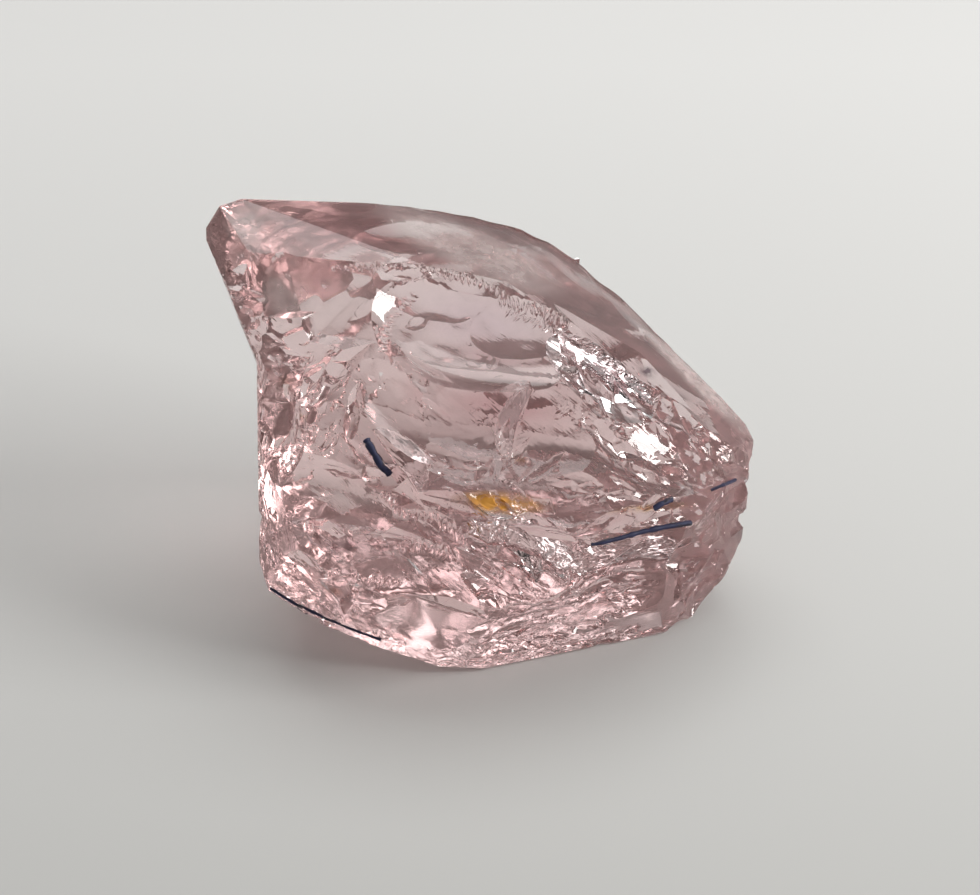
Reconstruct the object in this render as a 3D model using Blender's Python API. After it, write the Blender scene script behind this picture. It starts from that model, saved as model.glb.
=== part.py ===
"""A rough pink tourmaline: one clear fragment broken from a crystal, at its real size.

Corners and fractures are measured in millimetres on the view plane, the plane that the stone is
looked at along: across to the right, up, and towards the viewer. The viewer looks down on the stone
by VIEW_ELEVATION, and placed() turns such a point into the stone's own upright frame.
"""

import math
from dataclasses import dataclass

import bmesh
import bpy
from mathutils import Matrix, Vector
from mathutils.bvhtree import BVHTree

NAME = "tourmaline"
MM = 0.001

# The lean of the view plane, and the floor's height below the view plane's centre
VIEW_ELEVATION = math.radians(35.0)
FLOOR = -4.5

# Worn edges of the block before it was struck
WORN_EDGE = 0.16
WORN_STEPS = 2

# Smoothness of a fracture, and how far out a blow starts
ROUND_SEGMENTS = 24
ROUND_RINGS = 30
BLOW_START = 30.0

# How many times its own depth a chip's cutter rises from its tip
CHIP_CLEARANCE = 3.0

# The view-plane direction to the viewer
TO_VIEWER = (0.0, 0.0, 1.0)

# Points closer than this are one corner
MERGE = 0.002

# The stone's finish: clear pink
PINK = (0.86, 0.66, 0.68, 1.0)
TOURMALINE_IOR = 1.63
GLOSS_ROUGHNESS = 0.04


def placed(across, up, towards):
    """The point in the stone's upright frame of a point measured on the view plane."""
    lean_sin, lean_cos = math.sin(VIEW_ELEVATION), math.cos(VIEW_ELEVATION)
    return Vector((across, up * lean_sin - towards * lean_cos, up * lean_cos + towards * lean_sin))


# Corners round the outline, clockwise from the horn at the upper left
OUTLINE_CORNERS = [
    (-6.65, 6.52, -0.6),
    (-4.0, 6.45, -1.3),
    (-1.3, 6.33, -2.0),
    (-0.2, 6.16, -2.3),
    (1.2, 5.78, -2.6),
    (1.95, 5.47, -2.7),
    (2.7, 4.98, -2.7),
    (3.7, 4.12, -2.5),
    (4.8, 3.05, -2.1),
    (5.7, 2.1, -1.7),
    (6.75, 0.98, -1.2),
    (7.4, 0.25, -0.8),
    (7.62, -0.2, -0.6),
    (7.52, -1.3, -0.6),
    (7.32, -2.9, -0.8),
    (6.85, -3.95, -0.6),
    (5.9, -5.15, -0.3),
    (5.1, -5.55, 0.1),
    (2.9, -5.8, 0.7),
    (1.1, -6.3, 1.2),
    (0.1, -6.5, 1.6),
    (-1.1, -6.45, 1.8),
    (-2.8, -5.92, 2.0),
    (-4.5, -5.25, 1.9),
    (-5.85, -4.35, 1.5),
    (-6.1, -3.6, 1.3),
    (-6.15, -1.0, 1.0),
    (-7.6, 5.1, 0.0),
    (-7.62, 5.7, -0.2),
    (-7.25, 6.32, -0.4),
]

# Corners of the faces turned to the viewer: the two smooth faces above the crest, crest, belly, foot
FRONT_CORNERS = [
    (-2.9, 6.42, -1.3),
    (-1.8, 6.2, -1.45),
    (0.5, 5.4, -1.3),
    (2.1, 4.45, -1.1),
    (4.45, 2.65, -0.7),
    (5.85, 1.0, -0.25),
    (-6.4, 5.0, 1.0),
    (-4.2, 4.8, 1.3),
    (-1.4, 4.6, 1.1),
    (0.8, 4.1, 1.1),
    (2.3, 3.0, 1.4),
    (4.5, 1.4, 1.5),
    (7.0, -0.4, 0.6),
    (-4.9, -0.6, 3.1),
    (-2.4, -2.0, 4.3),
    (-0.2, -2.4, 4.5),
    (2.5, -2.3, 4.0),
    (4.8, -2.0, 2.9),
    (6.7, -1.6, 1.3),
    (-5.0, -3.5, 2.9),
    (-2.3, -4.6, 3.6),
    (0.0, -4.9, 3.6),
    (2.5, -4.4, 3.2),
    (4.8, -4.3, 2.0),
]

# Corners at the back and round the flat that it rests on, in the upright frame
BACK_CORNERS = [
    (-6.5, 3.2, 2.2),
    (-5.3, 4.6, 0.4),
    (-2.2, 5.6, 1.6),
    (1.2, 5.7, 0.8),
    (4.0, 4.6, -0.4),
    (6.5, 2.2, -1.6),
    (-5.6, 1.6, -3.2),
    (-4.3, 3.6, -3.4),
    (0.4, 4.4, -4.0),
    (4.4, 3.2, -4.1),
    (6.6, 0.2, -3.8),
    (-4.2, -0.4, FLOOR),
    (-2.6, 2.2, FLOOR),
    (2.6, 2.6, FLOOR),
    (5.4, 0.4, FLOOR),
    (4.8, -2.6, FLOOR),
    (0.4, -4.6, FLOOR),
    (-2.6, -3.6, FLOOR),
]


@dataclass(frozen=True)
class Chip:
    """A flat-sided chip: an upturned pyramid sunk into the block, seen from the viewer's side.

    Its rim has `sides` corners on an oval, and its tip is off the middle by the given shares of
    the oval's two half sizes, so that one side is a steep step and the rest a slope.
    """

    across: float
    up: float
    half_length: float
    half_width: float
    depth: float
    turn: float
    sides: int
    tip: tuple


@dataclass(frozen=True)
class Fracture:
    """A shell-shaped fracture, sunk where a blow from `facing` through the point meets the block.

    The point and the direction are measured on the view plane, and `turn` in degrees turns the
    longer side of the rim up from the across direction.
    """

    across: float
    up: float
    half_length: float
    half_width: float
    depth: float
    turn: float
    facing: tuple = TO_VIEWER

BELOW = (0.0, -1.0, 0.35)
BELOW_RIGHT = (0.8, -0.6, 0.25)
LEFT = (-1.0, 0.0, 0.0)
BEHIND = (0.0, 0.57, -0.82)
BEHIND_LEFT = (-0.6, 0.45, -0.66)
BEHIND_RIGHT = (0.6, 0.45, -0.66)

FRACTURES = {
    "great_bowl": Fracture(-0.15, 2.75, 3.0, 1.9, 0.85, turn=-14),
    "bowl_lip": Fracture(0.35, 3.75, 1.9, 0.6, 0.34, turn=-16),
    "dark_hollow": Fracture(0.6, 0.1, 2.9, 1.6, 0.6, turn=-8),
    "crest_flank": Fracture(3.9, 1.7, 3.0, 1.5, 0.42, turn=-42),
    "right_shelf": Fracture(4.9, -0.6, 2.5, 1.25, 0.42, turn=-12),
    "belly_shelf": Fracture(2.0, -1.9, 2.6, 1.1, 0.35, turn=-4),
    "shoulder": Fracture(-4.9, 1.9, 1.9, 1.2, 0.4, turn=-8),
    "left_cheek": Fracture(-5.4, 0.1, 1.6, 1.0, 0.35, turn=75),
    "bulge_side": Fracture(-2.1, 0.6, 1.9, 0.9, 0.3, turn=-55),
    "under_ledge": Fracture(-4.1, -2.0, 2.5, 1.35, 0.55, turn=-16),
    "ledge_fan": Fracture(-1.2, -2.5, 2.2, 0.9, 0.35, turn=-22),
    "comb_hollow": Fracture(-2.3, -3.6, 2.5, 1.2, 0.45, turn=-10),
    "left_foot": Fracture(-4.8, -4.2, 2.0, 1.2, 0.32, turn=-34),
    "mid_foot": Fracture(0.8, -3.7, 2.2, 1.2, 0.42, turn=-32),
    "stained_shelf": Fracture(4.5, -2.9, 3.1, 1.15, 0.4, turn=10),
    "right_foot": Fracture(4.0, -4.4, 2.6, 1.15, 0.38, turn=14),
    "toe": Fracture(1.9, -5.3, 2.2, 0.9, 0.28, turn=8),
    "toe_arch": Fracture(2.6, -5.9, 1.7, 1.2, 0.24, turn=4, facing=BELOW),
    "right_edge": Fracture(7.0, -1.9, 1.9, 0.9, 0.26, turn=80),
    "right_corner": Fracture(6.4, -4.6, 0.9, 0.7, 0.16, turn=-50, facing=BELOW_RIGHT),
    "left_wall": Fracture(0.0, -1.8, 2.2, 1.5, 0.6, turn=90, facing=LEFT),
    "back_hollow": Fracture(1.2, -0.8, 3.2, 1.9, 0.6, turn=12, facing=BEHIND),
    "back_step": Fracture(-1.9, 0.9, 2.1, 1.0, 0.35, turn=-15, facing=BEHIND),
    "back_left": Fracture(-2.6, -2.0, 2.4, 1.6, 0.45, turn=30, facing=BEHIND_LEFT),
    "back_right": Fracture(2.9, -1.6, 2.2, 1.5, 0.45, turn=-40, facing=BEHIND_RIGHT),
}

CHIPS = {
    "horn_window": Chip(-3.8, 3.4, 2.1, 1.5, 0.4, turn=52, sides=4, tip=(-0.4, 0.1)),
    "horn_triangle": Chip(-5.2, 3.9, 1.9, 1.5, 0.36, turn=-25, sides=3, tip=(0.2, -0.2)),
    "comb_nick": Chip(1.9, 3.2, 1.3, 0.6, 0.45, turn=-35, sides=4, tip=(0.2, 0.5)),
    "sparkle_nick": Chip(2.6, 1.7, 1.1, 0.8, 0.5, turn=-70, sides=3, tip=(0.0, 0.3)),
    "flank_step": Chip(4.2, 2.0, 2.8, 0.8, 0.5, turn=-43, sides=4, tip=(0.3, 0.4)),
    "flank_notch": Chip(4.9, 0.7, 1.4, 0.9, 0.5, turn=-20, sides=3, tip=(-0.3, 0.2)),
    "hollow_step": Chip(0.1, -0.8, 2.2, 1.0, 0.6, turn=14, sides=4, tip=(0.4, 0.4)),
    "shelf_notch": Chip(3.8, -0.2, 1.4, 0.9, 0.55, turn=35, sides=3, tip=(0.1, 0.1)),
    "shelf_facet": Chip(6.0, -0.9, 1.5, 0.9, 0.45, turn=-48, sides=4, tip=(0.3, -0.3)),
    "shoulder_nick": Chip(-3.8, 1.9, 1.2, 0.7, 0.45, turn=40, sides=3, tip=(0.2, 0.2)),
    "cheek_nick": Chip(-5.4, 1.1, 1.0, 0.7, 0.42, turn=70, sides=3, tip=(0.0, 0.2)),
    "ledge_end": Chip(-2.5, -1.6, 1.6, 0.8, 0.55, turn=-36, sides=4, tip=(0.4, 0.4)),
    "ledge_step": Chip(-0.7, -2.1, 1.9, 0.6, 0.5, turn=-20, sides=4, tip=(0.2, 0.4)),
    "fan_step": Chip(1.5, -3.0, 2.2, 0.8, 0.6, turn=-36, sides=4, tip=(0.2, 0.4)),
    "fan_notch": Chip(0.0, -3.4, 1.4, 0.9, 0.6, turn=-50, sides=3, tip=(0.0, 0.2)),
    "dark_pit": Chip(-3.8, -3.1, 1.1, 0.7, 0.7, turn=8, sides=5, tip=(0.2, 0.3)),
    "foot_pit": Chip(-4.0, -4.3, 1.1, 0.8, 0.5, turn=-35, sides=3, tip=(0.1, 0.2)),
    "pale_facet": Chip(-1.4, -5.1, 2.5, 1.3, 0.4, turn=-8, sides=5, tip=(-0.2, 0.3)),
    "layer_step": Chip(4.3, -3.6, 2.6, 0.7, 0.55, turn=14, sides=4, tip=(0.2, 0.4)),
    "layer_edge": Chip(5.6, -2.1, 1.8, 0.6, 0.42, turn=12, sides=4, tip=(-0.3, 0.3)),
    "foot_step": Chip(3.2, -4.9, 1.9, 0.6, 0.45, turn=20, sides=4, tip=(0.3, 0.3)),
    "foot_corner": Chip(5.8, -4.0, 1.2, 0.8, 0.4, turn=-60, sides=3, tip=(0.0, 0.1)),
}

# The wedge broken out below the horn, which runs from front to back and opens to the left
NOTCH_CORNERS = [
    (-5.85, 2.05, 12.0),
    (-5.75, -8.0, 12.0),
    (-11.3, 15.3, 12.0),
    (-6.55, 1.85, -12.0),
    (-6.45, -8.0, -12.0),
    (-12.0, 15.1, -12.0),
]


def crystal_block():
    """The unbroken block: the flat faces that the corners span, with their edges worn."""
    block = bmesh.new()
    measured = OUTLINE_CORNERS + FRONT_CORNERS
    for corner in [placed(*point) for point in measured] + BACK_CORNERS:
        block.verts.new(corner)
    hull = bmesh.ops.convex_hull(block, input=block.verts)
    unused = set(hull["geom_interior"] + hull["geom_unused"])
    spare = [corner for corner in block.verts if corner in unused]
    bmesh.ops.delete(block, geom=spare, context="VERTS")
    bmesh.ops.bevel(
        block,
        geom=block.edges[:],
        offset=WORN_EDGE,
        segments=WORN_STEPS,
        profile=0.5,
        affect="EDGES",
        clamp_overlap=True,
    )
    bmesh.ops.remove_doubles(block, verts=block.verts, dist=MERGE)
    bmesh.ops.recalc_face_normals(block, faces=block.faces)
    return block


def struck(surface, blow, facing):
    """Where a blow from the given side meets the block, as a frame with its third axis outward."""
    outward = placed(*facing).normalized()
    start = placed(blow.across, blow.up, 0.0) + outward * BLOW_START
    point, normal, _, _ = surface.ray_cast(start, -outward)
    turn = math.radians(blow.turn)
    along = placed(math.cos(turn), math.sin(turn), 0.0)
    along = (along - normal * along.dot(normal)).normalized()
    turned = Matrix((along, normal.cross(along), normal)).transposed().to_4x4()
    return Matrix.Translation(point) @ turned


def fracture_cutter(fracture, surface):
    """The ellipsoid whose cap, sunk by the fracture's depth, leaves a rim of the fracture's size."""
    mean = math.sqrt(fracture.half_length * fracture.half_width)
    bulge = (mean**2 + fracture.depth**2) / (2 * fracture.depth)
    rim_share = math.sqrt(1 - (1 - fracture.depth / bulge) ** 2)
    semi_axes = (fracture.half_length / rim_share, fracture.half_width / rim_share, bulge)

    ball = bmesh.new()
    bmesh.ops.create_uvsphere(ball, u_segments=ROUND_SEGMENTS, v_segments=ROUND_RINGS, radius=1.0)
    bmesh.ops.scale(ball, vec=semi_axes, verts=ball.verts)
    bmesh.ops.translate(ball, vec=(0.0, 0.0, bulge - fracture.depth), verts=ball.verts)
    frame = struck(surface, fracture, fracture.facing)
    bmesh.ops.transform(ball, matrix=frame, verts=ball.verts)
    return ball


def chip_cutter(chip, surface):
    """The upturned pyramid, carried on outward past its rim until it is clear of the block."""
    tip = Vector((chip.tip[0] * chip.half_length, chip.tip[1] * chip.half_width, -chip.depth))
    pyramid = bmesh.new()
    pyramid.verts.new(tip)
    for side in range(chip.sides):
        turn = math.tau * side / chip.sides
        rim = Vector((chip.half_length * math.cos(turn), chip.half_width * math.sin(turn), 0.0))
        pyramid.verts.new(tip + (rim - tip) * CHIP_CLEARANCE)
    bmesh.ops.convex_hull(pyramid, input=pyramid.verts)
    frame = struck(surface, chip, TO_VIEWER)
    bmesh.ops.transform(pyramid, matrix=frame, verts=pyramid.verts)
    bmesh.ops.recalc_face_normals(pyramid, faces=pyramid.faces)
    return pyramid


def notch_cutter():
    """The wedge that the notch's corners span."""
    wedge = bmesh.new()
    for corner in NOTCH_CORNERS:
        wedge.verts.new(placed(*corner))
    bmesh.ops.convex_hull(wedge, input=wedge.verts)
    bmesh.ops.recalc_face_normals(wedge, faces=wedge.faces)
    return wedge


def object_from(shape, name, collection):
    """Turns a bmesh in millimetres into an object in metres that stands on the floor."""
    bmesh.ops.translate(shape, vec=(0.0, 0.0, -FLOOR), verts=shape.verts)
    bmesh.ops.scale(shape, vec=(MM, MM, MM), verts=shape.verts)
    mesh = bpy.data.meshes.new(name)
    shape.to_mesh(mesh)
    shape.free()
    made = bpy.data.objects.new(name, mesh)
    collection.objects.link(made)
    return made


def take_away(stone, cutter):
    """Adds the Boolean that takes the cutter away from the stone."""
    cutter.hide_render = True
    cutter.display_type = "WIRE"
    modifier = stone.modifiers.new(cutter.name, "BOOLEAN")
    modifier.operation = "DIFFERENCE"
    modifier.solver = "EXACT"
    modifier.object = cutter


def clear_pink():
    """The finish: clear pink glass-like crystal."""
    material = bpy.data.materials.new("clear_pink")
    material.use_nodes = True
    shader = material.node_tree.nodes["Principled BSDF"]
    shader.inputs["Base Color"].default_value = PINK
    shader.inputs["Roughness"].default_value = GLOSS_ROUGHNESS
    shader.inputs["Metallic"].default_value = 0.0
    shader.inputs["IOR"].default_value = TOURMALINE_IOR
    shader.inputs["Transmission Weight"].default_value = 1.0
    return material


def main():
    for old in list(bpy.data.objects):
        bpy.data.objects.remove(old)
    collection = bpy.data.collections.new(NAME)
    cutters = bpy.data.collections.new("cutters")
    for made in (collection, cutters):
        bpy.context.scene.collection.children.link(made)

    block = crystal_block()
    surface = BVHTree.FromBMesh(block)
    stone = object_from(block, NAME, collection)
    stone.data.materials.append(clear_pink())
    take_away(stone, object_from(notch_cutter(), "notch", cutters))
    for name, fracture in FRACTURES.items():
        take_away(stone, object_from(fracture_cutter(fracture, surface), name, cutters))
    for name, chip in CHIPS.items():
        take_away(stone, object_from(chip_cutter(chip, surface), name, cutters))


main()
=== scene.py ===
"""The looks of a rough pink tourmaline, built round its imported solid.

The stone is made finer here than in the solid: the same faces, fractures and chips, and then the
small chips, cracks, ripples and combs of a freshly broken crystal. Lengths are in millimetres on
the view plane (across, up, towards the viewer) until a mesh is finished, and in metres after that.
"""

import logging
import math
from dataclasses import dataclass, field
from enum import Enum

import bmesh
import bpy
import numpy as np
from mathutils import Matrix, Vector, noise
from mathutils.bvhtree import BVHTree

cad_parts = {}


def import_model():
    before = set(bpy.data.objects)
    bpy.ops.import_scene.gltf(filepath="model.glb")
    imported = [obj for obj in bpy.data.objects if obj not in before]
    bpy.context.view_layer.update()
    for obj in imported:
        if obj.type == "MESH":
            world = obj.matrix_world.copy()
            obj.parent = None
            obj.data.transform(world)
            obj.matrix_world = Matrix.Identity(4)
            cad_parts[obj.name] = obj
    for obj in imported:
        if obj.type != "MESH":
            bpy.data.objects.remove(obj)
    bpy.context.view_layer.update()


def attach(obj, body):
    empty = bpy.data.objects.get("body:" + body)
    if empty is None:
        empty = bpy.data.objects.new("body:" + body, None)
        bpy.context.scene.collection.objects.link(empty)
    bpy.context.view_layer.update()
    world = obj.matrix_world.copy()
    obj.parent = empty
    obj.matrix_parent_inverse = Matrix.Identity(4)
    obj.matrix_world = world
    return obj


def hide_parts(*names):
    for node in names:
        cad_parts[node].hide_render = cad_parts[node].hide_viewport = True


LOG = logging.getLogger("tourmaline")

MM = 0.001
SOLID_NODE = "tourmaline"
BODY = "root"

# The photograph's frame and scale
PHOTO_WIDTH = 980
PHOTO_HEIGHT = 895
PIXELS_PER_MM = 36.0
CENTRE_PIXEL = (480.0, 433.0)

# Points closer than this lie in one place, in millimetres
NO_LENGTH = 0.00001

Point = tuple[float, float, float]


def from_pixel(column: float, row: float) -> tuple[float, float]:
    """Turns a pixel of the photograph into millimetres across and up on the view plane."""
    return (column - CENTRE_PIXEL[0]) / PIXELS_PER_MM, (CENTRE_PIXEL[1] - row) / PIXELS_PER_MM


@dataclass(frozen=True)
class ViewPlane:
    """The plane that the stone is looked at along, through the stone's middle.

    Attributes:
        elevation: how far the viewer looks down, in radians.
        floor: the floor's height below the plane's centre, in millimetres.
    """

    elevation: float = math.radians(35.0)
    floor: float = -4.5

    def direction(self, across: float, up: float, towards: float) -> Vector:
        """Turns a direction on the view plane into the upright frame.

        Args:
            across: the part to the right.
            up: the part up the picture.
            towards: the part to the viewer.

        Returns:
            The direction in the upright frame.
        """
        lean_sin, lean_cos = math.sin(self.elevation), math.cos(self.elevation)
        return Vector((across, up * lean_sin - towards * lean_cos, up * lean_cos + towards * lean_sin))

    def placed(self, across: float, up: float, towards: float) -> Vector:
        """Turns a point on the view plane into the upright frame, in millimetres off the floor."""
        return self.direction(across, up, towards) - Vector((0.0, 0.0, self.floor))

    def measured(self, points: np.ndarray) -> np.ndarray:
        """Turns upright points into view-plane points.

        Args:
            points: one upright point in millimetres in each row.

        Returns:
            The same points as across, up and towards.
        """
        lean_sin, lean_cos = math.sin(self.elevation), math.cos(self.elevation)
        height = points[:, 2] + self.floor
        up = points[:, 1] * lean_sin + height * lean_cos
        towards = -points[:, 1] * lean_cos + height * lean_sin
        return np.stack((points[:, 0], up, towards), axis=1)


VIEW = ViewPlane()


class Facing(Enum):
    """The side that a blow comes from, as a direction on the view plane."""

    VIEWER = (0.0, 0.0, 1.0)
    BELOW = (0.0, -1.0, 0.35)
    BELOW_RIGHT = (0.8, -0.6, 0.25)
    LEFT = (-1.0, 0.0, 0.0)
    BEHIND = (0.0, 0.57, -0.82)
    BEHIND_LEFT = (-0.6, 0.45, -0.66)
    BEHIND_RIGHT = (0.6, 0.45, -0.66)


def object_from(shape: bmesh.types.BMesh, name: str) -> bpy.types.Object:
    """Makes an object of a shape and frees the shape.

    Args:
        shape: the shape, in millimetres.
        name: the new object's name.

    Returns:
        The object, linked to the scene.
    """
    mesh = bpy.data.meshes.new(name)
    shape.to_mesh(mesh)
    shape.free()
    made = bpy.data.objects.new(name, mesh)
    bpy.context.scene.collection.objects.link(made)
    return made


def evaluated_copy(source: bpy.types.Object, name: str) -> bpy.types.Object:
    """Makes a plain mesh object of what an object's modifiers give, and removes the source.

    Args:
        source: the object with its modifiers.
        name: the new object's name.

    Returns:
        The plain object.
    """
    bpy.context.view_layer.update()
    graph = bpy.context.evaluated_depsgraph_get()
    mesh = bpy.data.meshes.new_from_object(source.evaluated_get(graph))
    old_mesh = source.data
    bpy.data.objects.remove(source)
    bpy.data.meshes.remove(old_mesh)
    made = bpy.data.objects.new(name, mesh)
    bpy.context.scene.collection.objects.link(made)
    return made


def put_in_order(piece: bpy.types.Object) -> None:
    """Puts a mesh's vertices and faces in the order of their places.

    A cut leaves them in any order, and what is scattered or split afterwards follows it.

    Args:
        piece: the mesh object.
    """
    mesh = piece.data
    points = np.zeros(len(mesh.vertices) * 3)
    mesh.vertices.foreach_get("co", points)
    points = points.reshape(-1, 3)
    order = np.lexsort(points.T)
    rank = np.empty(len(order), dtype=int)
    rank[order] = np.arange(len(order))
    rings = []
    for face in mesh.polygons:
        ring = [int(rank[corner]) for corner in face.vertices]
        first = ring.index(min(ring))
        rings.append(ring[first:] + ring[:first])
    mesh.clear_geometry()
    mesh.from_pydata(points[order].tolist(), [], sorted(rings))
    mesh.update()


def drop_folds(piece: bpy.types.Object) -> None:
    """Deletes faces that lie folded together on the same corners, and keeps one of an odd number.

    Args:
        piece: the mesh object, of triangles.
    """
    shape = bmesh.new()
    shape.from_mesh(piece.data)
    bmesh.ops.remove_doubles(shape, verts=shape.verts, dist=NO_LENGTH)
    twins = {}
    for face in shape.faces:
        twins.setdefault(frozenset(face.verts), []).append(face)
    spare = [face for faces in twins.values() for face in faces[len(faces) % 2 :]]
    bmesh.ops.delete(shape, geom=spare, context="FACES")
    shape.to_mesh(piece.data)
    shape.free()
    LOG.info("folded faces dropped: %d", len(spare))


def take_away(stone: bpy.types.Object, cutters: list[bpy.types.Object], crossing: bool = False) -> bpy.types.Object:
    """Takes cutters away from the stone for good.

    Args:
        stone: the stone so far.
        cutters: the objects to take away, which are removed.
        crossing: whether the shells inside one cutter cross each other.

    Returns:
        The stone that is left.
    """
    name = stone.name
    for cutter in cutters:
        modifier = stone.modifiers.new(cutter.name, "BOOLEAN")
        modifier.operation = "DIFFERENCE"
        modifier.solver = "EXACT"
        modifier.use_self = crossing
        modifier.object = cutter
    left = evaluated_copy(stone, name)
    for cutter in cutters:
        old_mesh = cutter.data
        bpy.data.objects.remove(cutter)
        bpy.data.meshes.remove(old_mesh)
    left.name = name
    put_in_order(left)
    return left


def struck(surface: BVHTree, across: float, up: float, turn: float, facing: Facing) -> Matrix:
    """Finds where a blow meets the stone.

    Args:
        surface: the stone's surface.
        across: the blow's place to the right.
        up: the blow's place up the view plane.
        turn: the turn of the first axis up from the across direction, in degrees.
        facing: the side that the blow comes from.

    Returns:
        The frame at the point met, with its third axis outward.
    """
    outward = VIEW.direction(*facing.value).normalized()
    point, normal, _, _ = surface.ray_cast(VIEW.placed(across, up, 0.0) + outward * 30.0, -outward)
    along = VIEW.direction(math.cos(math.radians(turn)), math.sin(math.radians(turn)), 0.0)
    along = (along - normal * along.dot(normal)).normalized()
    turned = Matrix((along, normal.cross(along), normal)).transposed().to_4x4()
    return Matrix.Translation(point) @ turned


@dataclass(frozen=True)
class Fracture:
    """A shell-shaped fracture.

    Attributes:
        across: the blow's place to the right.
        up: the blow's place up the view plane.
        half_length: half the rim's length.
        half_width: half the rim's width.
        depth: how deep the middle lies below the flat face.
        turn: the length's turn up from the across direction, in degrees.
        facing: the side that the blow comes from.
    """

    across: float
    up: float
    half_length: float
    half_width: float
    depth: float
    turn: float
    facing: Facing = Facing.VIEWER

    def cutter(self, name: str, surface: BVHTree, segments: int, rings: int) -> bpy.types.Object:
        """Makes the ellipsoid whose sunk cap leaves the rim.

        Args:
            name: the cutter's name.
            surface: the unbroken block's surface.
            segments: how many steps go round the ellipsoid.
            rings: how many steps go from pole to pole.

        Returns:
            The cutter.
        """
        mean = math.sqrt(self.half_length * self.half_width)
        bulge = (mean**2 + self.depth**2) / (2 * self.depth)
        rim_share = math.sqrt(1 - (1 - self.depth / bulge) ** 2)
        ball = bmesh.new()
        bmesh.ops.create_uvsphere(ball, u_segments=segments, v_segments=rings, radius=1.0)
        semi_axes = (self.half_length / rim_share, self.half_width / rim_share, bulge)
        bmesh.ops.scale(ball, vec=semi_axes, verts=ball.verts)
        bmesh.ops.translate(ball, vec=(0.0, 0.0, bulge - self.depth), verts=ball.verts)
        place = struck(surface, self.across, self.up, self.turn, self.facing)
        bmesh.ops.transform(ball, matrix=place, verts=ball.verts)
        return object_from(ball, name)


@dataclass(frozen=True)
class Chip:
    """A flat-sided chip: an upturned pyramid sunk into the block from the viewer's side.

    Attributes:
        across: the chip's place to the right.
        up: the chip's place up the view plane.
        half_length: half the rim's length.
        half_width: half the rim's width.
        depth: how deep the tip lies.
        turn: the length's turn up from the across direction, in degrees.
        sides: how many sides it has.
        tip: the tip's place off the middle, as shares of the half sizes.
    """

    across: float
    up: float
    half_length: float
    half_width: float
    depth: float
    turn: float
    sides: int
    tip: tuple[float, float]

    def cutter(self, name: str, surface: BVHTree, clearance: float = 3.0) -> bpy.types.Object:
        """Makes the pyramid, carried on past its rim.

        Args:
            name: the cutter's name.
            surface: the unbroken block's surface.
            clearance: how many times its own depth it rises from its tip.

        Returns:
            The cutter.
        """
        tip = Vector((self.tip[0] * self.half_length, self.tip[1] * self.half_width, -self.depth))
        pyramid = bmesh.new()
        pyramid.verts.new(tip)
        for side in range(self.sides):
            turn = math.tau * side / self.sides
            rim = Vector((self.half_length * math.cos(turn), self.half_width * math.sin(turn), 0.0))
            pyramid.verts.new(tip + (rim - tip) * clearance)
        bmesh.ops.convex_hull(pyramid, input=pyramid.verts)
        place = struck(surface, self.across, self.up, self.turn, Facing.VIEWER)
        bmesh.ops.transform(pyramid, matrix=place, verts=pyramid.verts)
        bmesh.ops.recalc_face_normals(pyramid, faces=pyramid.faces)
        return object_from(pyramid, name)


@dataclass(frozen=True)
class Crack:
    """A thin lens-shaped crack that runs into the stone and is open along the surface.

    Attributes:
        across: the mouth's place to the right.
        up: the mouth's place up the view plane.
        half_length: half the mouth's length.
        reach: how far it runs in.
        half_gap: half its thickness.
        turn: the mouth's turn up from the across direction, in degrees.
        dip: how steeply it runs in, in degrees below the surface.
    """

    across: float
    up: float
    half_length: float
    reach: float
    half_gap: float
    turn: float
    dip: float

    def cutter(self, name: str, surface: BVHTree) -> bpy.types.Object:
        """Makes the flat lens.

        Args:
            name: the cutter's name.
            surface: the surface that the crack opens on.

        Returns:
            The cutter.
        """
        lens = bmesh.new()
        bmesh.ops.create_uvsphere(lens, u_segments=28, v_segments=10, radius=1.0)
        bmesh.ops.scale(lens, vec=(self.half_length, self.reach, self.half_gap), verts=lens.verts)
        dipped = Matrix.Rotation(math.radians(-self.dip), 3, "X")
        bmesh.ops.rotate(lens, cent=(0.0, 0.0, 0.0), matrix=dipped, verts=lens.verts)
        place = struck(surface, self.across, self.up, self.turn, Facing.VIEWER)
        bmesh.ops.transform(lens, matrix=place, verts=lens.verts)
        return object_from(lens, name)


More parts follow.
